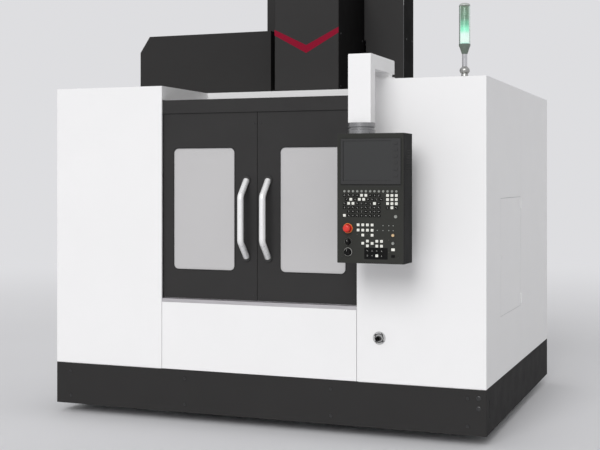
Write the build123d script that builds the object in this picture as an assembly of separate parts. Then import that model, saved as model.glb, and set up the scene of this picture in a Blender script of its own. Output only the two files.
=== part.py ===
from build123d import *
import math
import os

# Vertical machining center: C-frame with a cross table, sliding doors and a hanging control pendant.
# Units are millimetres. X runs right, Y runs to the rear, Z runs up, and the floor is Z = 0.

# Travels
X_TRAVEL = 1000.0
Y_TRAVEL = 500.0
Z_TRAVEL = 560.0

# Sheet, fits and cuts
SHEET = 3.0
SEAM = 3.0
BEND_R = 4.0
SCREW_GAP = 0.3
PIVOT_GAP = 0.05
CUT = 1.0

# Linear guides, shared by the three axes
RAIL_W = 45.0
RAIL_H = 38.0
RAIL_GAP = 0.5
RAIL_WAIST_IN = 6.0
RAIL_FOOT_H = 12.0
RAIL_HEAD_H = 9.0
RAIL_SLOPE_H = 5.0
CARRIAGE_W = 100.0
CARRIAGE_L = 110.0
CARRIAGE_LIFT = 8.0
GUIDE_H = 70.0
Y_RAIL_X = 260.0
X_RAIL_Y = 110.0
Z_RAIL_X = 160.0

# Ball screws and servo motors
SCREW_R = 20.0
JOURNAL_R = 15.0
X_SCREW_R = 16.0
X_JOURNAL_R = 12.0
BEARING_L = 40.0
NUT_HALF_W = 60.0
END_FLOAT = 5.0
MOTOR_SQ = 130.0
MOTOR_L = 240.0
X_MOTOR_SQ = 100.0
X_MOTOR_L = 200.0
MOTOR_ROOM = 15.0

# Table and saddle
TABLE_L = 1100.0
TABLE_W = 500.0
TABLE_T = 80.0
TABLE_CARRIAGE_X = 150.0
TSLOT_PITCH = 90.0
TSLOT_COUNT = 5
TSLOT_NECK = 18.0
TSLOT_FOOT = 30.0
TSLOT_NECK_DEPTH = 30.0
TSLOT_DEPTH = 44.0
SADDLE_T = 120.0
SADDLE_HALF_X = 340.0
SADDLE_HALF_Y = 240.0
WING_HALF_Y = 170.0
WING_T = 90.0
RAIL_END = 15.0
X_NUT_HALF_Y = 45.0

# Bed and column
BED_Z0 = 90.0
BED_TOP = 560.0
BED_HALF = 480.0
BED_NECK_HALF = 340.0
BED_FLANK_Z = (300.0, 420.0)
BED_RIB = 40.0
BED_POCKET_TOP = 280.0
BED_FRONT_ROOM = 120.0
COLUMN_HALF = 400.0
COLUMN_D = 480.0
COLUMN_TAPER = 90.0
COLUMN_TAPER_Z = 900.0
COLUMN_WALL = 60.0
COLUMN_WINDOW = (420.0, 500.0, 60.0)
COLUMN_WINDOW_Z = (1250.0, 2000.0)
CAST_R = 24.0
FOOT_IN = 120.0
LUG_W = 140.0
LUG_L = 120.0
LUG_T = 50.0
FOOT_PAD_R = 60.0
FOOT_PAD_T = 18.0
FOOT_STEM_R = 15.0
FOOT_NUT_R = 26.0
FOOT_NUT_H = 22.0

# Fore and aft, from the cabinets' front plane to the rear
SPINDLE_IN = 1010.0
WALL_GAP = 10.0
GUIDE_BAY = 100.0
REAR_BAY = 70.0
ECAB_BEHIND = 130.0

# Tool changer
NOSE_GAP = 100.0
POT_CIRCLE_R = 320.0
POT_COUNT = 20
POT_R = 38.0
POT_BORE_R = 23.0
POT_TAPER_END_R = 13.0
POT_L = 110.0
POT_BACK = 38.0
POT_DISC_GAP = 18.0
DISC_T = 20.0
HUB_R = 80.0
HUB_BORE_R = 40.3
FORK_T = 8.0
BAR_T = 12.0
PIVOT_R = 7.0
ATC_SHAFT_R = 30.0
ATC_ASIDE = 120.0
ATC_PLATE_T = 30.0
ATC_PLATE_ASIDE = 100.0
ATC_PLATE_ABOVE_NOSE = 90.0
ATC_PLATE_ABOVE_HUB = 50.0
HUB_FRONT = 29.0
HUB_SHOULDER = 82.0
HUB_SHOULDER_R = 60.0
CAM_BOX_ABOVE_NOSE = 70.0
ATC_MOTOR_R = 62.0
ATC_MOTOR_L = 220.0
GRIP_R = 32.0
JAW_R = 50.0
ARM_THICK = 32.0
ARM_BELOW_NOSE = 10.0

# Head and spindle
NOSE_L = 143.0
HEAD_HALF = 170.0
HEAD_FRONT = 130.0
HEAD_H = 620.0
HEAD_PLATE_H = 700.0
HEAD_WALL = 35.0
QUILL_R = 95.0
QUILL_L = 400.0
SPINDLE_R = 45.0
SPINDLE_NOSE_R = 44.0
TAPER_R = 22.2
TAPER_END_R = 12.7
TAPER_L = 66.0
MOTOR_R = 125.0
SPINDLE_MOTOR_L = 440.0

# Covers that rise above the roof
HEAD_COVER_HALF = 230.0
HEAD_COVER_FRONT_IN = 160.0
HEAD_COVER_OVER = 37.0
COVER_R = 12.0
COLUMN_COVER_HALF = 517.0
COLUMN_COVER_BACK = 35.0
COLUMN_COVER_OVER = 110.0
MAGAZINE_COVER_IN = 75.0
MAGAZINE_COVER_ASIDE = 70.0
MAGAZINE_COVER_OVER = 510.0
MAGAZINE_SLOPE = (75.0, 112.0)

# Cabinets and skirts
END_GAP = 100.0
SIDE_BAY = 235.0
ROOF_OVER_HUB = 70.0
ROOF_FRONT_DEPTH = 648.0
ROOF_IN = 2.0
SKIRT_BOTTOM = 60.0
SKIRT_TOP = 317.0
SKIRT_RETURN = 95.0
SKIRT_FOLD = 40.0
GUARD_IN = 75.0
CHIP_PAN_Z = 400.0
CHIP_PAN_RISE = 120.0
CHIP_LIP_H = 80.0
HATCH_IN = (404.0, 1070.0)
HATCH_Z = (677.0, 1374.0)
HATCH_FLANGE = 20.0
HINGE_IN = 46.0
HINGE_R = 6.0
HINGE_PIN_R = 3.0
HINGE_L = 60.0

# Doors
OPENING_W = 1264.0
SILL_Z = 730.0
SILL_H = 25.0
DOOR_RECESS = 20.0
DOOR_T = 30.0
HEADER_BELOW_ROOF = 89.0
HEADER_H = 82.0
DOOR_BELOW_HEADER = 21.0
WINDOW_IN = 148.0
WINDOW_OUT = 74.0
WINDOW_ABOVE = 176.0
WINDOW_BELOW = 275.0
WINDOW_R = 30.0
WINDOW_FRAME = 30.0
WINDOW_LAP = 12.0
WINDOW_T = 8.0
HANDLE_IN = 70.0
HANDLE_R = 19.0
HANDLE_Z0 = 1000.0
HANDLE_L = 497.0
HANDLE_OUT = 90.0
HANDLE_SLOPE = 95.0
HANDLE_BEND_R = 40.0

# Telescopic way cover
COVER_LAP = 50.0
COVER_T = 2.0
COVER_Z = 640.0
COVER_SKIRT_Z = 575.0
COVER_ASIDE = 10.0
COVER_STEP = 2.5

# Pendant
ARM_ASIDE = 112.5
ARM_PIVOT_BACK = 90.0
ARM_W = 130.0
ARM_T = 80.0
ARM_REAR = 75.0
FLANGE_R = 70.0
FLANGE_H = 36.0
SPIGOT_R = 30.0
SPIGOT_GAP = 0.1
PENDANT_OUT = 260.0
POST_L = 300.0
NECK_R = 76.0
NECK_H = 61.0
PENDANT_LEFT = 112.0
PENDANT_W = 378.0
PENDANT_H = 707.0
PENDANT_D = 170.0
PLATE_T = 4.0
BEZEL_X = (21.0, 364.0)
BEZEL_Z = (428.0, 679.0)
BEZEL_T = 7.0
GLASS_X = (36.0, 308.0)
GLASS_Z = (450.0, 666.0)
GLASS_T = 3.0

# Controls: places are measured from the pendant's lower left corner
STEM_R = 6.0
ESTOP_H = 38.0
ESTOP_R = 20.0
ESTOP_STEM_R = 11.0
ESTOP_AT = (63.0, 190.0)
FEED_AT = (63.5, 117.0)
MODE_AT = (63.0, 61.0)
KEY_PITCH = 24.5
KEY_W = 18.0
KEY_H = 14.0
KEY_T = 3.0
FIRST_KEY_X = 43.0
SOFT_KEY_Z = 392.0
SOFT_KEY_R = 8.0
MDI_TOP = 370.0
MDI_ROW_PITCH = 22.0
OPERATOR_X = 121.5
OPERATOR_PITCH = 26.5
OPERATOR_KEYS = ((209.5, (0, 1, 2, 3)), (181.0, (0, 1, 2, 3)), (154.0, (1, 3)), (122.0, (2, 4, 5)),
                 (110.0, (1, 3)), (96.0, (2, 4, 5)), (43.5, (4,)))
SIDE_BUTTON_X = 318.5
SIDE_BUTTONS = (155.0, 112.0, 78.0, 43.0)
SIDE_BUTTON_R = 10.0

# Small fittings
AIR_ASIDE = 135.0
AIR_Z = 576.0
AIR_R = 37.5
TOWER_IN = 167.0
TOWER_BACK = 200.0
LENS_ABOVE_ROOF = (202.0, 436.0)
LENS_R = 32.0

# Electrical cabinet and coolant tank
ECAB_W = 1200.0
ECAB_Z = (420.0, 1900.0)
ECAB_DOOR_T = 25.0
ECAB_GAP = 20.0
MODULE_COUNT = 5
MODULE_PITCH = 190.0
MODULE_W = 120.0
MODULE_FRONT = 105.0
MODULE_BELOW_ROOF = (560.0, 160.0)
TERMINAL_HALF = 440.0
TERMINAL_FRONT = 80.0
TERMINAL_ABOVE_FLOOR = (520.0, 640.0)
ECAB_SPACER_IN = 100.0
ECAB_SPACER_ABOVE_FLOOR = (200.0, 440.0)
LOUVRE_COUNT = 8
LOUVRE_PITCH = 22.0
LOUVRE_L = 220.0
LOUVRE_H = 8.0
TANK_IN = 45.0
TANK_H = 300.0
TANK_WALL = 4.0
TANK_DECK = 420.0
TANK_FRONT_IN = 250.0
PUMP_R = 70.0
PUMP_H = 260.0
PUMP_ASIDE = 180.0
PUMP_FROM_REAR = 200.0
PUMP_PIPE_L = 130.0
PUMP_PIPE_R = 14.0

# Worked out from the sizes above: heights
SADDLE_TOP = BED_TOP + GUIDE_H + SADDLE_T
TABLE_BOTTOM = SADDLE_TOP + GUIDE_H
TABLE_TOP = TABLE_BOTTOM + TABLE_T
NOSE_Z = TABLE_TOP + NOSE_GAP + Z_TRAVEL
MAGAZINE_Z = NOSE_Z + POT_L + POT_CIRCLE_R
CABINET_TOP = MAGAZINE_Z + ROOF_OVER_HUB
HEAD_BOTTOM = NOSE_Z + NOSE_L
QUILL_TOP = HEAD_BOTTOM + QUILL_L
SPINDLE_MOTOR_Z = HEAD_BOTTOM + HEAD_H
Y_SCREW_Z = BED_TOP - 20.0
X_SCREW_Z = SADDLE_TOP + 5.0
Z_CARRIAGES = (HEAD_BOTTOM + 60.0, HEAD_BOTTOM + HEAD_PLATE_H - 60.0)
Z_RAIL = (Z_CARRIAGES[0] - Z_TRAVEL - CARRIAGE_L, Z_CARRIAGES[1] + CARRIAGE_L)
Z_SCREW = (Z_RAIL[0], Z_RAIL[1] + 27.0)
Z_MOTOR_FACE = Z_SCREW[1] + BEARING_L
COLUMN_TOP = Z_MOTOR_FACE + MOTOR_L
HEADER_TOP = CABINET_TOP - HEADER_BELOW_ROOF
HEADER_BOTTOM = HEADER_TOP - HEADER_H
GUARD_TOP = HEADER_TOP - SHEET
DOOR_Z0 = SILL_Z + SILL_H + 2.0
DOOR_TOP = HEADER_TOP - DOOR_BELOW_HEADER
WINDOW_Z = (DOOR_Z0 + WINDOW_ABOVE, DOOR_TOP - WINDOW_BELOW)
ARM_LOW = CABINET_TOP + FLANGE_H
NECK_Z = (ARM_LOW - POST_L - NECK_H, ARM_LOW - POST_L)
PENDANT_Z0 = NECK_Z[0] - PENDANT_H
APRON_LOW = BED_TOP + WALL_GAP + Z_TRAVEL
HEAD_LOWEST = HEAD_BOTTOM - SHEET - Z_TRAVEL
DISC_R = POT_CIRCLE_R - POT_R - POT_DISC_GAP
ARM_TOP_Z = NOSE_Z - ARM_BELOW_NOSE
ATC_NOSE_Z = (NOSE_Z + 40.0, NOSE_Z + 160.0)

# Worked out from the sizes above: fore and aft, with the origin in the middle of the whole depth
TABLE_REACH_Y = TABLE_W / 2 + Y_TRAVEL / 2
SIDE_DEPTH = SPINDLE_IN + TABLE_REACH_Y + WALL_GAP + GUIDE_BAY + COLUMN_D + REAR_BAY
FRONT_REACH = PENDANT_OUT + PENDANT_D / 2 + PLATE_T + ESTOP_H
FRONT_Y = (FRONT_REACH - SIDE_DEPTH - ECAB_BEHIND) / 2
REAR_Y = FRONT_Y + SIDE_DEPTH
SPINDLE_Y = FRONT_Y + SPINDLE_IN
GUARD_Y = FRONT_Y + GUARD_IN
DOOR_Y = FRONT_Y + DOOR_RECESS
BACK_WALL_Y = SPINDLE_Y + TABLE_REACH_Y + WALL_GAP
COLUMN_FRONT = BACK_WALL_Y + GUIDE_BAY
COLUMN_REAR = COLUMN_FRONT + COLUMN_D
BED_FRONT = SPINDLE_Y - SADDLE_HALF_Y - Y_TRAVEL / 2 - BED_FRONT_ROOM
BED_REAR = COLUMN_REAR + 10.0
FOOT_YS = (BED_FRONT + FOOT_IN, (BED_FRONT + COLUMN_REAR) / 2, COLUMN_REAR - FOOT_IN)
Y_SCREW = (BED_FRONT + BED_RIB, COLUMN_FRONT - COLUMN_WALL)
Y_MOTOR_FACE = Y_SCREW[1] + BEARING_L
Z_SCREW_Y = COLUMN_FRONT - GUIDE_H / 2
GUIDE_PLATE_Y = COLUMN_FRONT - GUIDE_H
COVER_L = Y_TRAVEL / 2 + COVER_LAP
SADDLE_COVER_Y = SPINDLE_Y - SADDLE_HALF_Y - COVER_L
FIXED_COVER_Y = SADDLE_COVER_Y - Y_TRAVEL / 2
HEAD_COVER_FRONT = SPINDLE_Y - HEAD_COVER_FRONT_IN
HEAD_COVER_REAR = BACK_WALL_Y - 120.0
APRON_Y = BACK_WALL_Y + 9.0
COLUMN_COVER_FRONT = HEAD_COVER_REAR + 10.0
MAGAZINE_COVER_Y = (SPINDLE_Y - POT_BACK - 12.0, HEAD_COVER_REAR - 2.0)
ROOF_HEAD_Y = HEAD_COVER_FRONT - 12.0
ATC_PLATE_Y = (HEAD_COVER_REAR, HEAD_COVER_REAR + ATC_PLATE_T)
HATCH_Y = (FRONT_Y + HATCH_IN[0], FRONT_Y + HATCH_IN[1])
ECAB_FRONT = COLUMN_REAR + ECAB_GAP
ECAB_REAR = REAR_Y + ECAB_BEHIND
PENDANT_Y = FRONT_Y - PENDANT_OUT
PENDANT_FACE = PENDANT_Y - PENDANT_D / 2
PLATE_FACE = PENDANT_FACE - PLATE_T

# Worked out from the sizes above: across
WING_HALF_X = TABLE_CARRIAGE_X + X_TRAVEL / 2 + CARRIAGE_L / 2 + RAIL_END
GUARD_X = TABLE_L / 2 + X_TRAVEL / 2 + END_GAP
HALF_W = GUARD_X + SIDE_BAY
DOOR_HALF = OPENING_W / 2
HEADER_HALF = GUARD_X - 15.0
WINDOW_W = DOOR_HALF - WINDOW_IN - WINDOW_OUT
FOOT_X = BED_HALF + LUG_W - FOOT_PAD_R
CHIP_PAN_IN = BED_HALF + 20.0
COVER_HALF = BED_NECK_HALF + COVER_ASIDE
HEAD_SLOT_HALF = HEAD_COVER_HALF + 10.0
ATC_X = -HEAD_COVER_HALF - ATC_ASIDE
MAGAZINE_X = 2 * ATC_X
MAGAZINE_COVER_X = (-HALF_W + MAGAZINE_COVER_IN, -HEAD_COVER_HALF - MAGAZINE_COVER_ASIDE)
CHANGER_CUT_X = MAGAZINE_X - 200.0
ARM_X = DOOR_HALF + ARM_ASIDE
PENDANT_X = ARM_X - PENDANT_LEFT
HATCH_AXIS = (HALF_W + 1.0, HATCH_Y[1] + HINGE_R + 2.0)
ECAB_AXIS = (ECAB_W / 2 + 9.0, ECAB_REAR - ECAB_DOOR_T)

os.makedirs("parts", exist_ok=True)


def block(x0, x1, y0, y1, z0, z1):
    """Rectangular block between two opposite corners."""
    return Pos(x0, y0, z0) * Box(x1 - x0, y1 - y0, z1 - z0, align=(Align.MIN, Align.MIN, Align.MIN))


def rod_z(x, y, z0, z1, radius):
    """Upright cylinder."""
    return Pos(x, y, z0) * Cylinder(radius, z1 - z0, align=(Align.CENTER, Align.CENTER, Align.MIN))


def rod_y(x, z, y0, y1, radius):
    """Cylinder along Y."""
    return Pos(x, (y0 + y1) / 2, z) * Rot(90, 0, 0) * Cylinder(radius, y1 - y0)


def rod_x(y, z, x0, x1, radius):
    """Cylinder along X."""
    return Pos((x0 + x1) / 2, y, z) * Rot(0, 90, 0) * Cylinder(radius, x1 - x0)


def prism(points, along):
    """Closed outline of 3D points, extruded by the vector along."""
    outline = make_face(Polyline(*points, close=True))
    length = math.sqrt(sum(step * step for step in along))
    return extrude(outline, amount=length, dir=along)


def turned(outline, axis=Axis.Z):
    """Body of revolution from (radius, height) points."""
    if axis == Axis.Z:
        points = [(r, 0, h) for r, h in outline]
    else:
        points = [(r, h, 0) for r, h in outline]
    return revolve(make_face(Polyline(*points, close=True)), axis)


def upright_edges(shape):
    """Edges that run up the shape, straight or slanted."""
    return [edge for edge in shape.edges() if abs((edge % 0.5).Z) > 0.9]


def ring_of(count, radius, start=0.0):
    """Points evenly spaced round a circle, from a start angle in degrees."""
    angles = [math.radians(start + 360.0 / count * i) for i in range(count)]
    return [(radius * math.cos(angle), radius * math.sin(angle)) for angle in angles]


def mirrored(shape):
    """The same piece on the other side of the machine."""
    return mirror(shape, about=Plane.YZ)


def save(name, *solids):
    """Write one node, which may be a group of separate solids."""
    shape = solids[0] if len(solids) == 1 else Compound(children=list(solids))
    shape.label = name
    export_step(shape, f"parts/{name}.step")


# Guides and drives


def rail_outline():
    """Section of a profiled guide rail, as offsets across and up from the middle of its foot."""
    half = RAIL_W / 2
    waist = half - RAIL_WAIST_IN
    head = RAIL_H - RAIL_HEAD_H
    right = [(half, 0.0), (half, RAIL_FOOT_H), (waist, RAIL_FOOT_H + RAIL_SLOPE_H), (waist, head - RAIL_SLOPE_H),
             (half, head), (half, RAIL_H)]
    left = [(-u, v) for u, v in reversed(right)]
    return right + left


def carriage_y(x, y):
    """Carriage that rides on a bed rail along Y."""
    body = block(x - CARRIAGE_W / 2, x + CARRIAGE_W / 2, y - CARRIAGE_L / 2, y + CARRIAGE_L / 2,
                 BED_TOP + CARRIAGE_LIFT, BED_TOP + GUIDE_H)
    return body - block(x - RAIL_W / 2 - RAIL_GAP, x + RAIL_W / 2 + RAIL_GAP, y - CARRIAGE_L, y + CARRIAGE_L,
                        BED_TOP, BED_TOP + RAIL_H + RAIL_GAP)


def carriage_x(x, y):
    """Carriage that rides on a saddle rail along X."""
    body = block(x - CARRIAGE_L / 2, x + CARRIAGE_L / 2, y - CARRIAGE_W / 2, y + CARRIAGE_W / 2,
                 SADDLE_TOP + CARRIAGE_LIFT, SADDLE_TOP + GUIDE_H)
    return body - block(x - CARRIAGE_L, x + CARRIAGE_L, y - RAIL_W / 2 - RAIL_GAP, y + RAIL_W / 2 + RAIL_GAP,
                        SADDLE_TOP, SADDLE_TOP + RAIL_H + RAIL_GAP)


def carriage_z(x, z):
    """Carriage that rides on a column rail along Z."""
    body = block(x - CARRIAGE_W / 2, x + CARRIAGE_W / 2, GUIDE_PLATE_Y, COLUMN_FRONT - CARRIAGE_LIFT,
                 z - CARRIAGE_L / 2, z + CARRIAGE_L / 2)
    return body - block(x - RAIL_W / 2 - RAIL_GAP, x + RAIL_W / 2 + RAIL_GAP,
                        COLUMN_FRONT - RAIL_H - RAIL_GAP, COLUMN_FRONT, z - CARRIAGE_L, z + CARRIAGE_L)


def ballscrew(length, radius, journal_r, front_l, rear_l):
    """Screw shaft along +Z from its front shoulder, with a turned journal at each end."""
    return turned([(0, -front_l), (journal_r - 1, -front_l), (journal_r, -front_l + 1), (journal_r, 0), (radius, 0),
                   (radius, length), (journal_r, length), (journal_r, length + rear_l), (0, length + rear_l)])


def servo_motor(size, length):
    """Square servo motor along +Z from its mounting face, with a slimmer rear cap and a connector."""
    flange_t, cap_l, plug_l = 14.0, 60.0, 40.0
    flange = extrude(RectangleRounded(size, size, 10.0), flange_t)
    barrel = Pos(0, 0, flange_t) * extrude(RectangleRounded(size - 12, size - 12, 22.0), length - flange_t - cap_l)
    cap = Pos(0, 0, length - cap_l) * extrude(RectangleRounded(size - 30, size - 30, 14.0), cap_l)
    plug = Pos(size / 2 - 12, 0, length - cap_l - plug_l / 2) * Box(24.0, 34.0, plug_l)
    return flange + barrel + cap + plug


def guide_rails():
    rails = []
    y0, y1 = BED_FRONT + BED_FRONT_ROOM / 2, BACK_WALL_Y - 25.0
    for x in (-Y_RAIL_X, Y_RAIL_X):
        rails.append(prism([(x + u, y0, BED_TOP + v) for u, v in rail_outline()], (0, y1 - y0, 0)))
    for x in (-Z_RAIL_X, Z_RAIL_X):
        points = [(x + u, COLUMN_FRONT - v, Z_RAIL[0]) for u, v in rail_outline()]
        rails.append(prism(points, (0, 0, Z_RAIL[1] - Z_RAIL[0])))
    return rails


def y_ballscrew():
    shoulder = Y_SCREW[0] + BEARING_L + END_FLOAT
    length = Y_SCREW[1] - END_FLOAT - shoulder
    screw = ballscrew(length, SCREW_R, JOURNAL_R, BEARING_L, BEARING_L + END_FLOAT - CUT)
    return Pos(0, shoulder, Y_SCREW_Z) * Rot(-90, 0, 0) * screw


def x_ballscrew():
    half = WING_HALF_X - BEARING_L - END_FLOAT
    screw = ballscrew(2 * half, X_SCREW_R, X_JOURNAL_R, BEARING_L, BEARING_L + END_FLOAT - CUT)
    return Pos(-half, SPINDLE_Y, X_SCREW_Z) * Rot(0, 90, 0) * screw


def z_ballscrew():
    shoulder = Z_SCREW[0] + END_FLOAT
    length = Z_SCREW[1] - END_FLOAT - shoulder
    screw = ballscrew(length, SCREW_R, JOURNAL_R, BEARING_L, BEARING_L + END_FLOAT - CUT)
    return Pos(0, Z_SCREW_Y, shoulder) * screw


def axis_motors():
    y_motor = Pos(0, Y_MOTOR_FACE, Y_SCREW_Z) * Rot(-90, 0, 0) * servo_motor(MOTOR_SQ, MOTOR_L)
    z_motor = Pos(0, Z_SCREW_Y, Z_MOTOR_FACE) * servo_motor(MOTOR_SQ, MOTOR_L)
    return [y_motor, z_motor]


def x_motor():
    return Pos(WING_HALF_X, SPINDLE_Y, X_SCREW_Z) * Rot(0, 90, 0) * servo_motor(X_MOTOR_SQ, X_MOTOR_L)


# Castings


def bed_casting():
    """Bed with tapered flanks, pockets below, a tunnel for the Y screw and lugs for the feet."""
    side = [(BED_HALF, BED_Z0), (BED_HALF, BED_FLANK_Z[0]), (BED_NECK_HALF, BED_FLANK_Z[1]), (BED_NECK_HALF, BED_TOP)]
    outline = side + [(-x, z) for x, z in reversed(side)]
    bed = prism([(x, BED_FRONT, z) for x, z in outline], (0, BED_REAR - BED_FRONT, 0))
    bed = fillet(upright_edges(bed).copy(), CAST_R)
    pocket_l = (BED_REAR - BED_FRONT - 4 * BED_RIB) / 3
    for i in range(3):
        start = BED_FRONT + BED_RIB + i * (pocket_l + BED_RIB)
        bed -= block(-BED_HALF + BED_RIB, BED_HALF - BED_RIB, start, start + pocket_l, BED_Z0 - CUT, BED_POCKET_TOP)
    tunnel = MOTOR_SQ / 2 + MOTOR_ROOM
    bed -= block(-tunnel, tunnel, BED_FRONT + 30.0, COLUMN_FRONT + MOTOR_L + 60.0, Y_SCREW_Z - tunnel, BED_TOP + CUT)
    for start in Y_SCREW:
        support = block(-tunnel, tunnel, start, start + BEARING_L, Y_SCREW_Z - tunnel, Y_SCREW_Z + 2 * SCREW_R)
        bed += support - rod_y(0, Y_SCREW_Z, start - CUT, start + BEARING_L + CUT, JOURNAL_R + SCREW_GAP)
    lug = Pos(BED_HALF - 10, 0, BED_Z0) * Box(LUG_W + 10, LUG_L, LUG_T, align=(Align.MIN, Align.CENTER, Align.MIN))
    lug = fillet(lug.edges().filter_by(Axis.Z).group_by(Axis.X)[-1], CAST_R)
    lug -= rod_z(FOOT_X, 0, BED_Z0 - CUT, BED_Z0 + LUG_T + CUT, FOOT_STEM_R + RAIL_GAP)
    for y in FOOT_YS:
        placed = Pos(0, y, 0) * lug
        bed = bed + placed + mirrored(placed)
    return bed


def levelling_foot(x, y):
    """Round pad with a threaded stem and one nut on each side of the bed's lug."""
    pad = rod_z(x, y, 0, FOOT_PAD_T, FOOT_PAD_R)
    pad = chamfer(pad.edges().group_by(Axis.Z)[-1], 5.0)
    stem = rod_z(x, y, 0, BED_Z0 + LUG_T + 50.0, FOOT_STEM_R)
    nut = extrude(RegularPolygon(FOOT_NUT_R, 6), FOOT_NUT_H)
    return pad + stem + Pos(x, y, BED_Z0 - FOOT_NUT_H) * nut + Pos(x, y, BED_Z0 + LUG_T) * nut


def column_casting():
    """Hollow tapered column with windows behind, a niche for the Z motor and the Z screw's bearing blocks."""
    rear_top = COLUMN_REAR - COLUMN_TAPER
    side = [(COLUMN_FRONT, BED_TOP), (COLUMN_REAR, BED_TOP), (COLUMN_REAR, COLUMN_TAPER_Z),
            (rear_top, COLUMN_TOP), (COLUMN_FRONT, COLUMN_TOP)]
    column = prism([(-COLUMN_HALF, y, z) for y, z in side], (2 * COLUMN_HALF, 0, 0))
    column = fillet(upright_edges(column), CAST_R)
    column -= block(-COLUMN_HALF + COLUMN_WALL, COLUMN_HALF - COLUMN_WALL, COLUMN_FRONT + COLUMN_WALL,
                    rear_top - COLUMN_WALL, BED_TOP - CUT, COLUMN_TOP - COLUMN_WALL)
    tunnel = MOTOR_SQ / 2 + MOTOR_ROOM
    column -= block(-tunnel, tunnel, COLUMN_FRONT - CUT, COLUMN_FRONT + COLUMN_WALL + CUT,
                    BED_TOP - CUT, Y_SCREW_Z + tunnel)
    for z in COLUMN_WINDOW_Z:
        window = Pos(0, COLUMN_REAR, z) * Rot(90, 0, 0) * RectangleRounded(*COLUMN_WINDOW)
        column -= extrude(window, amount=COLUMN_TAPER + 2 * COLUMN_WALL, both=True)
    niche = MOTOR_SQ / 2 + END_FLOAT
    column -= block(-niche, niche, COLUMN_FRONT - CUT, Z_SCREW_Y + niche, Z_MOTOR_FACE, COLUMN_TOP + CUT)
    for z0, depth in ((Z_SCREW[0] - BEARING_L, GUIDE_H / 2), (Z_SCREW[1], MOTOR_SQ / 2)):
        support = block(-niche, niche, Z_SCREW_Y - depth, COLUMN_FRONT + CUT, z0, z0 + BEARING_L)
        column += support - rod_z(0, Z_SCREW_Y, z0 - CUT, z0 + BEARING_L + CUT, JOURNAL_R + SCREW_GAP)
    return column


def saddle():
    """Cross saddle: a block over the bed, wings under the table's travel, and both screws' seats."""
    low = BED_TOP + GUIDE_H
    body = block(-SADDLE_HALF_X, SADDLE_HALF_X, SPINDLE_Y - SADDLE_HALF_Y, SPINDLE_Y + SADDLE_HALF_Y, low, SADDLE_TOP)
    wing = block(-WING_HALF_X, WING_HALF_X, SPINDLE_Y - WING_HALF_Y, SPINDLE_Y + WING_HALF_Y,
                 SADDLE_TOP - WING_T, SADDLE_TOP)
    body += fillet(wing.edges().filter_by(Axis.Z), CAST_R)
    pocket, rib = SADDLE_HALF_X / 2 - 10.0, 30.0
    for sign in (-1, 1):
        mid = sign * (SADDLE_HALF_X + WING_HALF_X) / 2
        body -= block(mid - pocket, mid + pocket, SPINDLE_Y - WING_HALF_Y + rib, SPINDLE_Y + WING_HALF_Y - rib,
                      low, SADDLE_TOP - 40.0)
    channel = X_NUT_HALF_Y + 5.0
    channel_z = X_SCREW_Z - 25.0
    body -= block(-WING_HALF_X - CUT, WING_HALF_X + CUT, SPINDLE_Y - channel, SPINDLE_Y + channel,
                  channel_z, SADDLE_TOP + CUT)
    for sign in (-1, 1):
        low_x, high_x = sorted((sign * (WING_HALF_X - BEARING_L), sign * WING_HALF_X))
        support = block(low_x, high_x, SPINDLE_Y - channel, SPINDLE_Y + channel, channel_z, TABLE_BOTTOM - 15.0)
        body += support - rod_x(SPINDLE_Y, X_SCREW_Z, low_x - CUT, high_x + CUT, X_JOURNAL_R + SCREW_GAP)
    nut = block(-NUT_HALF_W, NUT_HALF_W, SPINDLE_Y - NUT_HALF_W, SPINDLE_Y + NUT_HALF_W, Y_SCREW_Z - 2 * SCREW_R, low)
    body += nut - rod_y(0, Y_SCREW_Z, SPINDLE_Y - NUT_HALF_W - CUT, SPINDLE_Y + NUT_HALF_W + CUT, SCREW_R + SCREW_GAP)
    for x in (-Y_RAIL_X, Y_RAIL_X):
        for sign in (-1, 1):
            body += carriage_y(x, SPINDLE_Y + sign * (SADDLE_HALF_Y - 60.0))
    return body


def x_rails():
    rails = []
    length = 2 * (WING_HALF_X - 5.0)
    for y in (SPINDLE_Y - X_RAIL_Y, SPINDLE_Y + X_RAIL_Y):
        rails.append(prism([(-length / 2, y + u, SADDLE_TOP + v) for u, v in rail_outline()], (length, 0, 0)))
    return rails


def table():
    """Table with T-slots along X, the X screw's nut and four carriages below."""
    half_l, half_w = TABLE_L / 2, TABLE_W / 2
    top = block(-half_l, half_l, SPINDLE_Y - half_w, SPINDLE_Y + half_w, TABLE_BOTTOM, TABLE_TOP)
    top = fillet(top.edges().filter_by(Axis.Z), 10.0)
    neck, foot = TSLOT_NECK / 2, TSLOT_FOOT / 2
    shoulder, bottom = TABLE_TOP - TSLOT_NECK_DEPTH, TABLE_TOP - TSLOT_DEPTH
    right = [(neck, TABLE_TOP + CUT), (neck, shoulder), (foot, shoulder), (foot, bottom)]
    section = right + [(-u, z) for u, z in reversed(right)]
    for i in range(TSLOT_COUNT):
        y = SPINDLE_Y + (i - (TSLOT_COUNT - 1) / 2) * TSLOT_PITCH
        top -= prism([(-half_l - CUT, y + u, z) for u, z in section], (TABLE_L + 2 * CUT, 0, 0))
    nut = block(-NUT_HALF_W, NUT_HALF_W, SPINDLE_Y - X_NUT_HALF_Y, SPINDLE_Y + X_NUT_HALF_Y,
                X_SCREW_Z - 20.0, TABLE_BOTTOM)
    top += nut - rod_x(SPINDLE_Y, X_SCREW_Z, -NUT_HALF_W - CUT, NUT_HALF_W + CUT, X_SCREW_R + SCREW_GAP)
    for x in (-TABLE_CARRIAGE_X, TABLE_CARRIAGE_X):
        for y in (SPINDLE_Y - X_RAIL_Y, SPINDLE_Y + X_RAIL_Y):
            top += carriage_x(x, y)
    return top


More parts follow.
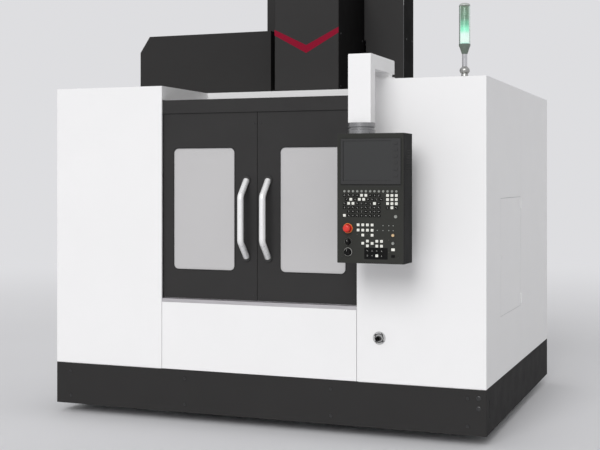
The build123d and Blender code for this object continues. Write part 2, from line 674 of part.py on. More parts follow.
def way_cover(level, y0):
    """Folded roof of one telescopic piece; a higher level is wider and taller."""
    half = COVER_HALF + level * COVER_STEP
    top = COVER_Z + level * COVER_STEP
    outer = block(-half, half, y0, y0 + COVER_L, COVER_SKIRT_Z, top)
    return outer - block(-half + COVER_T, half - COVER_T, y0 - CUT, y0 + COVER_L + CUT,
                         COVER_SKIRT_Z - CUT, top - COVER_T)


# Head


def headstock():
    """Cast head: a nose housing in front and a guide plate behind, joined by a hollow web."""
    top, plate_top = HEAD_BOTTOM + HEAD_H, HEAD_BOTTOM + HEAD_PLATE_H
    web_y = SPINDLE_Y + 150.0
    side = [(SPINDLE_Y - HEAD_FRONT, HEAD_BOTTOM), (GUIDE_PLATE_Y, HEAD_BOTTOM), (GUIDE_PLATE_Y, plate_top),
            (GUIDE_PLATE_Y - 110.0, plate_top), (web_y, top), (SPINDLE_Y - HEAD_FRONT, top)]
    head = prism([(-HEAD_HALF, y, z) for y, z in side], (2 * HEAD_HALF, 0, 0))
    head = fillet(head.edges().filter_by(Axis.Z).group_by(Axis.Y)[0], 2 * CAST_R)
    for x0, x1 in ((-HEAD_HALF + HEAD_WALL, -HEAD_WALL / 2), (HEAD_WALL / 2, HEAD_HALF - HEAD_WALL)):
        head -= block(x0, x1, web_y, GUIDE_PLATE_Y - HEAD_WALL, HEAD_BOTTOM + HEAD_WALL, top - 60.0)
    head -= rod_z(0, SPINDLE_Y, HEAD_BOTTOM - CUT, top + CUT, QUILL_R)
    for x in (-Z_RAIL_X, Z_RAIL_X):
        for z in Z_CARRIAGES:
            head += carriage_z(x, z)
    nut_z = (Z_CARRIAGES[0] + Z_CARRIAGES[1]) / 2
    nut = block(-NUT_HALF_W, NUT_HALF_W, GUIDE_PLATE_Y, COLUMN_FRONT - 5.0, nut_z - NUT_HALF_W, nut_z + NUT_HALF_W)
    head += nut - rod_z(0, Z_SCREW_Y, nut_z - NUT_HALF_W - CUT, nut_z + NUT_HALF_W + CUT, SCREW_R + SCREW_GAP)
    return head


def spindle_cartridge():
    """Turned cartridge: stepped nose ring, bolted flange and quill barrel around the running spindle."""
    bore, flange_r, flange_t = SPINDLE_R + SCREW_GAP, QUILL_R + 27.0, 28.0
    nose_r, flange_z = QUILL_R - 3.0, HEAD_BOTTOM - flange_t
    body = turned([(bore, NOSE_Z + 4), (nose_r - 22, NOSE_Z + 4), (nose_r - 14, NOSE_Z + 14), (nose_r, NOSE_Z + 60),
                   (nose_r, flange_z), (flange_r, flange_z), (flange_r, HEAD_BOTTOM), (QUILL_R, HEAD_BOTTOM),
                   (QUILL_R, QUILL_TOP), (bore, QUILL_TOP)])
    for x, y in ring_of(8, flange_r - 14.0, 22.5):
        body += rod_z(x, y, flange_z - 8.0, flange_z, 8.0)
    return Pos(0, SPINDLE_Y, 0) * body


def spindle():
    """Hollow spindle with the steep tool taper in its nose, two drive keys and a coupling end."""
    shaft_r, drawbar_z, top = 32.0, NOSE_Z + 120.0, SPINDLE_MOTOR_Z - 2.0
    body = turned([(TAPER_R, NOSE_Z), (SPINDLE_NOSE_R, NOSE_Z), (SPINDLE_R, NOSE_Z + 6), (SPINDLE_R, QUILL_TOP + 10),
                   (shaft_r, QUILL_TOP + 10), (shaft_r, top), (0, top), (0, drawbar_z), (TAPER_END_R, drawbar_z),
                   (TAPER_END_R, NOSE_Z + TAPER_L)])
    body += rod_z(0, 0, QUILL_TOP + 50.0, QUILL_TOP + 150.0, SPINDLE_R + 5.0)
    key_y = (TAPER_R + SPINDLE_NOSE_R) / 2
    for sign in (-1, 1):
        body += Pos(0, sign * key_y, NOSE_Z - 3.0) * Box(15.8, 16.0, 8.0)
    return Pos(0, SPINDLE_Y, 0) * body


def spindle_motor():
    """Flanged spindle motor on the head, with cooling fins and a fan cowl on top."""
    z0, flange_t, cowl_l = SPINDLE_MOTOR_Z, 20.0, 100.0
    fin_t, fin_pitch, cowl_z = 12.0, 36.0, z0 + SPINDLE_MOTOR_L - cowl_l
    motor = Pos(0, SPINDLE_Y, z0) * extrude(RectangleRounded(2 * MOTOR_R, 2 * MOTOR_R, flange_t), flange_t)
    motor += rod_z(0, SPINDLE_Y, z0 + flange_t, cowl_z, MOTOR_R - 12.0)
    for i in range(7):
        fin_z = z0 + 50.0 + fin_pitch * i
        motor += rod_z(0, SPINDLE_Y, fin_z, fin_z + fin_t, MOTOR_R)
    motor += rod_z(0, SPINDLE_Y, cowl_z, cowl_z + cowl_l, MOTOR_R - 4.0)
    return motor - rod_z(0, SPINDLE_Y, z0 - CUT, z0 + 12.0, 60.0)


def head_cover():
    """Folded cover around the head, open behind, with a floor plate and a long apron down the guides."""
    half, apron_half = HEAD_COVER_HALF, HEAD_COVER_HALF + 18.0
    top = SPINDLE_MOTOR_Z + SPINDLE_MOTOR_L + HEAD_COVER_OVER
    hood = block(-half, half, HEAD_COVER_FRONT, HEAD_COVER_REAR, HEAD_BOTTOM - SHEET, top)
    hood = fillet(hood.edges().filter_by(Axis.Z).group_by(Axis.Y)[0], COVER_R)
    hood -= block(-half + SHEET, half - SHEET, HEAD_COVER_FRONT + SHEET, HEAD_COVER_REAR + CUT,
                  HEAD_BOTTOM, top - SHEET)
    floor = block(-half, half, HEAD_COVER_REAR - CUT, APRON_Y + SHEET, HEAD_BOTTOM - SHEET, HEAD_BOTTOM)
    apron = block(-apron_half, apron_half, APRON_Y, APRON_Y + SHEET, APRON_LOW, HEAD_BOTTOM)
    return hood + floor + apron - rod_z(0, SPINDLE_Y, HEAD_BOTTOM - 10, HEAD_BOTTOM + CUT, QUILL_R + 29.0)


def column_cover():
    """Folded cover round the top of the column, slotted for the head and open behind."""
    half, front, rear = COLUMN_COVER_HALF, COLUMN_COVER_FRONT, COLUMN_FRONT + COLUMN_COVER_BACK
    top = COLUMN_TOP + COLUMN_COVER_OVER
    cover = block(-half, half, front, rear, CABINET_TOP, top)
    cover = fillet(cover.edges().filter_by(Axis.Z).group_by(Axis.Y)[0], COVER_R)
    cover -= block(-half + SHEET, half - SHEET, front + SHEET, rear + CUT, CABINET_TOP - CUT, top - SHEET)
    return cover - block(-HEAD_SLOT_HALF, HEAD_SLOT_HALF, front - CUT, front + SHEET + 20.0,
                         CABINET_TOP - CUT, HEAD_BOTTOM + HEAD_PLATE_H + 60.0)


# Tool changer


def magazine_cover():
    """Folded hood over the magazine, open below, with a sloped left shoulder."""
    x0, x1 = MAGAZINE_COVER_X
    y0, y1 = MAGAZINE_COVER_Y
    top = MAGAZINE_Z + MAGAZINE_COVER_OVER
    slope_x, slope_z = MAGAZINE_SLOPE
    side = [(x0, CABINET_TOP), (x0, top - slope_z), (x0 + slope_x, top), (x1, top), (x1, CABINET_TOP)]
    hood = prism([(x, y0, z) for x, z in side], (0, y1 - y0, 0))
    inner = [(x0 + SHEET, CABINET_TOP - CUT), (x0 + SHEET, top - slope_z - 1), (x0 + slope_x + 2, top - SHEET),
             (x1 - SHEET, top - SHEET), (x1 - SHEET, CABINET_TOP - CUT)]
    return hood - prism([(x, y0 + SHEET, z) for x, z in inner], (0, y1 - y0 - 2 * SHEET, 0))


def tool_pot():
    """Pot along +Y about the spindle plane, centred on X = 0 and Z = 0, with its taper socket."""
    floor_y, taper_y = 30.0, 45.0
    body = turned([(0, floor_y), (0, -POT_BACK), (POT_R - 6, -POT_BACK), (POT_R, -POT_BACK + 6), (POT_R, POT_L),
                   (POT_BORE_R, POT_L), (POT_TAPER_END_R, taper_y), (POT_TAPER_END_R, floor_y)], Axis.Y)
    return Pos(0, SPINDLE_Y, 0) * body


def magazine_disc():
    """Disc with lightening holes, a hub sleeve and the fork that the change pot flips in."""
    hole_r = (DISC_R - HUB_R) / 2 - 43.0
    disc = rod_y(0, 0, SPINDLE_Y, SPINDLE_Y + DISC_T, DISC_R)
    disc += rod_y(0, 0, SPINDLE_Y - 20.0, SPINDLE_Y + 80.0, HUB_R)
    for x, z in ring_of(6, (DISC_R + HUB_R) / 2):
        disc -= rod_y(x, z, SPINDLE_Y - CUT, SPINDLE_Y + DISC_T + CUT, hole_r)
    disc -= rod_y(0, 0, SPINDLE_Y - 21.0, SPINDLE_Y + 81.0, HUB_BORE_R)
    for sign in (-1, 1):
        low, high = sorted((sign * (POT_R + 1.0), sign * (POT_R + 1.0 + FORK_T)))
        fork = block(low, high, SPINDLE_Y - 2 * PIVOT_R, SPINDLE_Y + DISC_T + BAR_T,
                     -POT_CIRCLE_R - 2 * PIVOT_R, -DISC_R + 30.0)
        disc += fork - rod_x(SPINDLE_Y, -POT_CIRCLE_R, low - CUT, high + CUT, PIVOT_R + PIVOT_GAP)
    return Pos(MAGAZINE_X, 0, MAGAZINE_Z) * disc


def tool_pots():
    """The fixed-angle pots, each with the bar that bolts it to the disc's rear face."""
    rear = SPINDLE_Y + DISC_T
    bar = block(-20.0, 20.0, rear, rear + BAR_T, -POT_CIRCLE_R + POT_R - 6, -DISC_R + 36.0)
    single = Pos(0, 0, -POT_CIRCLE_R) * tool_pot() + bar
    return [Pos(MAGAZINE_X, 0, MAGAZINE_Z) * Rot(0, 360.0 / POT_COUNT * i, 0) * single for i in range(1, POT_COUNT)]


def change_pot():
    """The pot at the change place, with its trunnion pins and an open rear end."""
    pin_half = POT_R + 1.0 + FORK_T
    body = tool_pot() + rod_x(SPINDLE_Y, 0, -pin_half, pin_half, PIVOT_R)
    body -= rod_y(0, 0, SPINDLE_Y + 30.0, SPINDLE_Y + POT_L + CUT, POT_TAPER_END_R)
    return Pos(MAGAZINE_X, 0, MAGAZINE_Z - POT_CIRCLE_R) * body


def atc_gearbox():
    """Cast changer frame: plate with the magazine's hub shaft, cam box with its nose, and a top motor."""
    y0, y1 = ATC_PLATE_Y
    inner_x = ATC_X + ATC_PLATE_ASIDE
    plate = block(CHANGER_CUT_X, inner_x, y0, y1, NOSE_Z + ATC_PLATE_ABOVE_NOSE, MAGAZINE_Z + ATC_PLATE_ABOVE_HUB)
    hub = rod_y(MAGAZINE_X, MAGAZINE_Z, SPINDLE_Y - HUB_FRONT, y0 + CUT, HUB_BORE_R - SCREW_GAP)
    hub += rod_y(MAGAZINE_X, MAGAZINE_Z, SPINDLE_Y + HUB_SHOULDER, y0 + CUT, HUB_SHOULDER_R)
    nose_r, box_top = ATC_SHAFT_R + 30.0, ATC_NOSE_Z[1] + CAM_BOX_ABOVE_NOSE
    box_y = SPINDLE_Y + 2 * nose_r
    cam_box = block(ATC_X - 50.0, inner_x, box_y, y0 + CUT, ATC_NOSE_Z[0], box_top)
    nose = rod_z(ATC_X, SPINDLE_Y, *ATC_NOSE_Z, nose_r)
    nose += block(ATC_X - 50.0, ATC_X + nose_r, SPINDLE_Y, box_y + CUT, *ATC_NOSE_Z)
    frame = plate + hub + cam_box + nose
    for z0 in (ATC_NOSE_Z[0] + 100.0, MAGAZINE_Z - 70.0):
        frame += block(ATC_X - 40.0, ATC_X + 60.0, y1 - CUT, COLUMN_FRONT, z0, z0 + 60.0)
    motor_x, motor_y = ATC_X + 25.0, (box_y + y0) / 2 - 15.0
    motor = rod_z(motor_x, motor_y, box_top - CUT, box_top + 10.0, ATC_MOTOR_R + 10.0)
    motor += rod_z(motor_x, motor_y, box_top + 9.0, box_top + ATC_MOTOR_L, ATC_MOTOR_R)
    bore = rod_z(ATC_X, SPINDLE_Y, ATC_NOSE_Z[0] - CUT, ATC_NOSE_Z[1] + CUT, ATC_SHAFT_R + SCREW_GAP)
    return frame + motor - bore


def atc_shaft():
    """Changer shaft with the collar that the arm stands on."""
    low = ARM_TOP_Z - ARM_THICK - 24.0
    return rod_z(ATC_X, SPINDLE_Y, low, ATC_NOSE_Z[1] + 30.0, ATC_SHAFT_R) + rod_z(ATC_X, SPINDLE_Y, low, low + 20.0, 40.0)


def atc_arm():
    """Double arm parked along Y, with an open C gripper for a tool flange at each end."""
    low, reach = ARM_TOP_Z - ARM_THICK, -ATC_X
    root_half, tip_half = 40.0, 30.0
    arm = rod_z(0, 0, low - 4.0, ARM_TOP_Z + 20.0, ATC_SHAFT_R + 25.0)
    for sign in (-1, 1):
        outline = [(-root_half, 0, low), (root_half, 0, low), (tip_half, sign * reach, low),
                   (-tip_half, sign * reach, low)]
        arm += prism(outline, (0, 0, ARM_THICK))
        arm += rod_z(0, sign * reach, low, ARM_TOP_Z, JAW_R)
    for sign in (-1, 1):
        end = sign * reach
        arm -= rod_z(0, end, low - CUT, ARM_TOP_Z + CUT, GRIP_R)
        low_x, high_x = sorted((0, -sign * (JAW_R + CUT)))
        arm -= block(low_x, high_x, end - GRIP_R, end + GRIP_R, low - CUT, ARM_TOP_Z + CUT)
    arm -= rod_z(0, 0, low - 5.0, ARM_TOP_Z + 21.0, ATC_SHAFT_R + PIVOT_GAP)
    return Pos(ATC_X, SPINDLE_Y, 0) * arm


# Enclosure


def roof_outline():
    """Roof of the right half, cut out for the head and seated under the column cover."""
    edge, rear = HALF_W - ROOF_IN, REAR_Y - ROOF_IN
    inner = HEAD_SLOT_HALF + 2.0
    seat_x, seat_y = COLUMN_COVER_HALF - 15.0, COLUMN_COVER_FRONT + 20.0
    return [(DOOR_HALF, FRONT_Y + ROOF_IN), (edge, FRONT_Y + ROOF_IN), (edge, rear), (seat_x, rear),
            (seat_x, seat_y), (inner, seat_y), (inner, ROOF_HEAD_Y), (DOOR_HALF, ROOF_HEAD_Y)]


def cabinet_shell():
    """Right-hand cabinet sheet: front, side and rear folded in one, with its roof and a short inner drop."""
    z0, z1 = SKIRT_TOP + SEAM, CABINET_TOP
    shell = block(DOOR_HALF, HALF_W, FRONT_Y, REAR_Y, z0, z1)
    shell = fillet(shell.edges().filter_by(Axis.Z).group_by(Axis.X)[-1], BEND_R)
    shell -= block(DOOR_HALF + SHEET, HALF_W - SHEET, FRONT_Y + SHEET, REAR_Y - SHEET, z0 - CUT, z1 + CUT)
    shell -= block(DOOR_HALF - CUT, DOOR_HALF + SHEET + CUT, DOOR_Y - 8.0, REAR_Y + CUT, z0 - CUT, z1 + CUT)
    seam_y = HATCH_AXIS[1] - SEAM / 2
    shell -= block(HALF_W - 1.2, HALF_W + CUT, seam_y, seam_y + SEAM, z0 - CUT, z1 + CUT)
    inset, low, high = 2 * SHEET, z0 - 33.0, z0 + 20.0
    tongue = block(DOOR_HALF + inset, HALF_W - SHEET, FRONT_Y + SHEET, REAR_Y - SHEET, low, high)
    tongue -= block(DOOR_HALF, HALF_W - inset, FRONT_Y + inset, REAR_Y, low - CUT, high + CUT)
    roof = prism([(x, y, z1 - SHEET) for x, y in roof_outline()], (0, 0, SHEET))
    drop = block(DOOR_HALF, DOOR_HALF + SHEET, GUARD_Y - 12.0, FRONT_Y + ROOF_FRONT_DEPTH, HEADER_TOP + 4.0, z1 - CUT)
    return shell + tongue + roof + drop


def right_cabinet():
    shell = cabinet_shell()
    shell -= block(HALF_W - SHEET - CUT, HALF_W + CUT, *HATCH_Y, *HATCH_Z)
    x, y = HATCH_AXIS
    third = HINGE_L / 6
    for z in (HATCH_Z[0] + HINGE_IN, HATCH_Z[1] - HINGE_IN):
        leaf = block(HALF_W - SHEET, HALF_W + 1.5, y, y + 26.0, z - HINGE_L / 2, z + HINGE_L / 2)
        barrel = rod_z(x, y, z - HINGE_L / 2, z + HINGE_L / 2, HINGE_R)
        middle = block(x - 10.0, x + 10.0, y - 10.0, y + 30.0, z - third, z + third)
        pocket = block(HALF_W - SHEET - 4, HALF_W, HATCH_Y[1] - CUT, y + HINGE_R + 0.5, z - third, z + third)
        pin = rod_z(x, y, z - HINGE_L / 2, z + HINGE_L / 2, HINGE_PIN_R)
        shell = shell - pocket + (leaf + barrel - middle) + pin
    return shell


def left_cabinet():
    x0, x1 = MAGAZINE_COVER_X
    y0, y1 = MAGAZINE_COVER_Y
    inset = SHEET + 4.0
    opening = block(-x1 + inset, -x0 - inset, y0 + inset, y1 - inset, CABINET_TOP - SHEET - CUT, CABINET_TOP + CUT)
    return mirrored(cabinet_shell() - opening)


def side_hatch():
    """Hinged hatch in the right side, with folded edges, a lock and the middle knuckle of each hinge."""
    y0, y1 = HATCH_Y[0] + SEAM, HATCH_Y[1] - SEAM
    z0, z1 = HATCH_Z[0] + SEAM, HATCH_Z[1] - SEAM
    pan = block(HALF_W - HATCH_FLANGE, HALF_W, y0, y1, z0, z1)
    pan -= block(HALF_W - HATCH_FLANGE - CUT, HALF_W - SHEET, y0 + SHEET, y1 - SHEET, z0 + SHEET, z1 - SHEET)
    x, y = HATCH_AXIS
    half = HINGE_L / 6 - 0.5
    for z in (HATCH_Z[0] + HINGE_IN, HATCH_Z[1] - HINGE_IN):
        knuckle = block(HALF_W - SHEET, HALF_W + 1.5, y1 - 10.0, y, z - half, z + half)
        knuckle += rod_z(x, y, z - half, z + half, HINGE_R)
        pan += knuckle - rod_z(x, y, z - half - CUT, z + half + CUT, HINGE_PIN_R + PIVOT_GAP)
    lock_y, lock_z = y0 + 40.0, (z0 + z1) / 2
    pan += rod_x(lock_y, lock_z, HALF_W - HATCH_FLANGE, HALF_W + 1.5, 12.0)
    return pan - block(HALF_W, HALF_W + 2, lock_y - 1.5, lock_y + 1.5, lock_z - 8.0, lock_z + 8.0)


def rear_beam():
    """White folded beam across the roof, in front of the head."""
    half, depth = DOOR_HALF - 0.5, 100.0
    y0, low = FRONT_Y + ROOF_FRONT_DEPTH, CABINET_TOP - depth
    beam = block(-half, half, y0, ROOF_HEAD_Y, low, CABINET_TOP)
    beam -= block(-half - CUT, half + CUT, y0 + SHEET, ROOF_HEAD_Y - SHEET, low - CUT, CABINET_TOP - SHEET)
    return beam + block(-half, half, y0, y0 + 40.0, low, low + SHEET)


def front_lower_panel():
    half, fold = DOOR_HALF - SEAM, 25.0
    z0, z1 = SKIRT_TOP + SEAM, SILL_Z
    pan = block(-half, half, FRONT_Y, FRONT_Y + fold, z0, z1)
    return pan - block(-half + SHEET, half - SHEET, FRONT_Y + SHEET, FRONT_Y + fold + CUT, z0 + SHEET, z1 - SHEET)


def sill_rail():
    """Sill under the doors, with the rib that guides their lower edge into the pockets."""
    half, rib_y, foot_t = DOOR_HALF - 0.5, DOOR_Y + DOOR_T / 2, 6.0
    bar = block(-half, half, FRONT_Y, GUARD_Y + SHEET, SILL_Z, SILL_Z + SILL_H - 3.0)
    bar += block(-HEADER_HALF, HEADER_HALF, DOOR_Y - 7.0, GUARD_Y, SILL_Z, SILL_Z + foot_t)
    return bar + block(-HEADER_HALF, HEADER_HALF, rib_y - 2.0, rib_y + 2.0, SILL_Z + foot_t - CUT,
                       SILL_Z + SILL_H + 8.0)


def door_header():
    """Top rail: a folded channel that the doors hang in, with the fascia above the opening."""
    front, rear, low = DOOR_Y - 8.0, DOOR_Y + DOOR_T + 8.0, HEADER_TOP - 36.0
    rail = block(-HEADER_HALF, HEADER_HALF, front, rear, low, HEADER_TOP)
    rail -= block(-HEADER_HALF - CUT, HEADER_HALF + CUT, front + SHEET, rear - SHEET, low - CUT, HEADER_TOP - SHEET)
    return rail + block(-DOOR_HALF + 0.5, DOOR_HALF - 0.5, front, front + SHEET, HEADER_BOTTOM, HEADER_TOP)


def window_block(grow, y0, y1):
    """Rounded window outline of the right door, extruded from y0 to y1."""
    outline = RectangleRounded(WINDOW_W + 2 * grow, WINDOW_Z[1] - WINDOW_Z[0] + 2 * grow, WINDOW_R + grow)
    centre = Pos(WINDOW_IN + WINDOW_W / 2, y1, (WINDOW_Z[0] + WINDOW_Z[1]) / 2)
    return centre * Rot(90, 0, 0) * extrude(outline, y1 - y0)


def right_door():
    """Folded door pan with a framed window opening, two hangers and a slot for the guide rib."""
    x0, x1 = 2.0, DOOR_HALF - 2.0
    y0, y1 = DOOR_Y, DOOR_Y + DOOR_T
    pan = block(x0, x1, y0, y1, DOOR_Z0, DOOR_TOP)
    hollow = block(x0 + SHEET, x1 - SHEET, y0 + SHEET, y1 + CUT, DOOR_Z0 + SHEET, DOOR_TOP - SHEET)
    pan -= hollow - window_block(WINDOW_FRAME, y0, y1)
    pan -= window_block(0.0, y0 - CUT, y1 + CUT)
    pan -= window_block(WINDOW_LAP, y0 + SHEET, y1 + CUT)
    rib_y, slot_half = (y0 + y1) / 2, 4.0
    pan -= block(x0 - CUT, x1 + CUT, rib_y - slot_half, rib_y + slot_half, DOOR_Z0 - CUT, DOOR_Z0 + 14.0)
    for x in (x0 + 80.0, x1 - 80.0):
        pan += block(x - 35.0, x + 35.0, y0 + 8.0, y1 - 8.0, DOOR_TOP - CUT, HEADER_TOP - SHEET - 0.5)
    return pan


def right_window():
    """Window pane, seated behind the door's front sheet and held in its frame."""
    return window_block(WINDOW_LAP - 0.5, DOOR_Y + SHEET, DOOR_Y + SHEET + WINDOW_T)


def right_handle():
    """Tubular bow handle whose ends slope back to round feet on the door."""
    z0, z1 = HANDLE_Z0 + HANDLE_R, HANDLE_Z0 + HANDLE_L - HANDLE_R
    out, foot = DOOR_Y - HANDLE_OUT, DOOR_Y - 2.0
    path = FilletPolyline((HANDLE_IN, foot, z0), (HANDLE_IN, out, z0 + HANDLE_SLOPE),
                          (HANDLE_IN, out, z1 - HANDLE_SLOPE), (HANDLE_IN, foot, z1), radius=HANDLE_BEND_R)
    start = Plane(origin=path @ 0, z_dir=path % 0)
    bow = sweep(start * Circle(HANDLE_R), path=path)
    for z in (z0, z1):
        bow += rod_y(HANDLE_IN, z, DOOR_Y - 8.0, DOOR_Y, HANDLE_R + 8.0)
    return bow - block(HANDLE_IN - 60.0, HANDLE_IN + 60.0, DOOR_Y, DOOR_Y + 60.0, z0 - 60.0, z1 + 60.0)


def splash_guard():
    """Inner enclosure sheet: walls, sloped chip pans, rear wall with the head slot, and the magazine shield."""
    t, y0, y1 = SHEET, GUARD_Y, BACK_WALL_Y
    foot_z, lip_z = CHIP_PAN_Z + CHIP_PAN_RISE, CHIP_PAN_Z + CHIP_LIP_H
    side = [(GUARD_X, GUARD_TOP), (GUARD_X, foot_z), (CHIP_PAN_IN, CHIP_PAN_Z), (CHIP_PAN_IN, lip_z),
            (CHIP_PAN_IN + t, lip_z), (CHIP_PAN_IN + t, CHIP_PAN_Z + t), (GUARD_X - t, foot_z + t),
            (GUARD_X - t, GUARD_TOP)]
    wing = prism([(x, y0, z) for x, z in side], (0, y1 - y0, 0))
    front = block(-GUARD_X, GUARD_X, y0, y0 + t, CHIP_PAN_Z, GUARD_TOP)
    front -= block(-DOOR_HALF - 8.0, DOOR_HALF + 8.0, y0 - CUT, y0 + t + CUT, SILL_Z, GUARD_TOP + CUT)
    floor = block(-CHIP_PAN_IN - t, CHIP_PAN_IN + t, y0, BED_FRONT, CHIP_PAN_Z, CHIP_PAN_Z + t)
    back = block(-GUARD_X, GUARD_X, y1 - t, y1, CHIP_PAN_Z, GUARD_TOP)
    for x0, x1, z0, z1 in ((-CHIP_PAN_IN, CHIP_PAN_IN, CHIP_PAN_Z - CUT, BED_TOP + 15.0),
                           (-HEAD_SLOT_HALF, HEAD_SLOT_HALF, HEAD_LOWEST - 6.0, GUARD_TOP + CUT),
                           (CHANGER_CUT_X, -HEAD_SLOT_HALF, NOSE_Z + 80.0, GUARD_TOP + CUT)):
        back -= block(x0, x1, y1 - t - CUT, y1 + CUT, z0, z1)
    shield_y = MAGAZINE_COVER_Y[0] - 28.0
    shield = block(-GUARD_X, -HEAD_SLOT_HALF - 2.0, shield_y, shield_y + t, ATC_NOSE_Z[0], GUARD_TOP)
    nose = block(-COVER_HALF, COVER_HALF, FIXED_COVER_Y, FIXED_COVER_Y + t, CHIP_PAN_Z, COVER_Z)
    return wing + mirrored(wing) + front + floor + back + shield + way_cover(0, FIXED_COVER_Y) + nose


def front_skirt():
    """Front skirt folded back at both ends, with a slot in each return."""
    skirt = block(-HALF_W, HALF_W, FRONT_Y, FRONT_Y + SKIRT_RETURN, SKIRT_BOTTOM, SKIRT_TOP)
    skirt = fillet(skirt.edges().filter_by(Axis.Z).group_by(Axis.Y)[0], BEND_R)
    skirt -= block(-HALF_W + SHEET, HALF_W - SHEET, FRONT_Y + SHEET, FRONT_Y + SKIRT_RETURN + CUT,
                   SKIRT_BOTTOM - CUT, SKIRT_TOP + CUT)
    slot_y, slot_half, margin = FRONT_Y + SKIRT_RETURN - 16.0, 6.0, 88.0
    return skirt - block(-HALF_W - CUT, HALF_W + CUT, slot_y - slot_half, slot_y + slot_half,
                         SKIRT_BOTTOM + margin, SKIRT_TOP - margin + 18.0)


def side_skirt(sign):
    """Side skirt with a fold inward along its lower edge."""
    y0 = FRONT_Y + SKIRT_RETURN + SEAM
    inner, fold = HALF_W - SHEET, HALF_W - SKIRT_FOLD
    side = [(HALF_W, SKIRT_BOTTOM), (HALF_W, SKIRT_TOP), (inner, SKIRT_TOP), (inner, SKIRT_BOTTOM + SHEET),
            (fold, SKIRT_BOTTOM + SHEET), (fold, SKIRT_BOTTOM)]
    return prism([(sign * x, y0, z) for x, z in side], (0, REAR_Y - y0, 0))


def coolant_tank():
    """Open coolant tray under the left chip pan, with a pump on its rear deck."""
    x0, x1 = -HALF_W + TANK_IN, -FOOT_X - FOOT_PAD_R - 20.0
    y0, y1 = FRONT_Y + TANK_FRONT_IN, REAR_Y - REAR_BAY
    wall, deck = TANK_WALL, y1 - TANK_DECK
    tank = block(x0, x1, y0, y1, 0, TANK_H)
    tank = fillet(tank.edges().filter_by(Axis.Z), CAST_R)
    tray = block(x0 + wall, x1 - wall, y0 + wall, y1 - wall, wall, TANK_H + CUT)
    tank -= fillet(tray.edges().filter_by(Axis.Z), CAST_R - wall)
    tank += block(x0 + wall - 1, x1 - wall + 1, deck, y1 - CAST_R, TANK_H - wall, TANK_H)
    pump_x, pump_y, flange_t = x0 + PUMP_ASIDE, y1 - PUMP_FROM_REAR, 30.0
    tank += rod_z(pump_x, pump_y, TANK_H - CUT, TANK_H + flange_t, PUMP_R + 25.0)
    tank += rod_z(pump_x, pump_y, TANK_H + flange_t - CUT, TANK_H + PUMP_H, PUMP_R)
    return tank + rod_y(pump_x, TANK_H + flange_t / 2, pump_y - PUMP_PIPE_L, pump_y, PUMP_PIPE_R)


def air_coupling():
    """Round port plate with its screws and a quick coupling socket."""
    x, z, plate_t = DOOR_HALF + AIR_ASIDE, AIR_Z, 3.0
    face = FRONT_Y - plate_t
    plate = rod_y(x, z, face, FRONT_Y, AIR_R)
    for u, v in ring_of(4, AIR_R - 9.5, 45.0):
        plate += rod_y(x + u, z + v, face - 2.5, face, 4.0)
    socket = rod_y(x, z, FRONT_Y - 34.0, face, 12.0) + rod_y(x, z, FRONT_Y - 28.0, FRONT_Y - 12.0, 14.5)
    return plate + socket - rod_y(x, z, FRONT_Y - 35.0, FRONT_Y - 14.0, 6.0)


# Electrical cabinet


def electrical_cabinet():
    """Cabinet box open to the rear, with its mounting plate, drive modules and hinge knuckles."""
    half, plate_in, plate_t = ECAB_W / 2, 60.0, 6.0
    z0, z1 = ECAB_Z
    mouth, inner = ECAB_REAR - ECAB_DOOR_T - SEAM, ECAB_FRONT + SHEET
    face = inner + plate_t - CUT
    box = block(-half, half, ECAB_FRONT, mouth, z0, z1)
    box -= block(-half + SHEET, half - SHEET, inner, mouth + CUT, z0 + SHEET, z1 - SHEET)
    box += block(-half + plate_in, half - plate_in, inner, inner + plate_t, z0 + plate_in, z1 - plate_in)
    for i in range(MODULE_COUNT):
        x = (i - (MODULE_COUNT - 1) / 2) * MODULE_PITCH
        box += block(x - MODULE_W / 2, x + MODULE_W / 2, face, ECAB_FRONT + MODULE_FRONT,
                     *(z1 - below for below in MODULE_BELOW_ROOF))
    box += block(-TERMINAL_HALF, TERMINAL_HALF, face, ECAB_FRONT + TERMINAL_FRONT,
                 *(z0 + above for above in TERMINAL_ABOVE_FLOOR))
    spacer = COLUMN_HALF - ECAB_SPACER_IN
    box += block(-spacer, spacer, COLUMN_REAR, ECAB_FRONT + CUT, *(z0 + above for above in ECAB_SPACER_ABOVE_FLOOR))
    x, y = ECAB_AXIS
    for z in (z0 + 150.0, z1 - 150.0):
        leaf = block(half - 1, x, y - 12.0, y - 9.0, z - 50.0, z + 50.0)
        web = block(x - 3.0, x, y - 12.0, y, z - 50.0, z - 5.0)
        barrel = rod_z(x, y, z - 50.0, z - 5.0, 8.0)
        box += leaf + web + barrel + rod_z(x, y, z - 50.0, z + 50.0, 4.0)
    return box


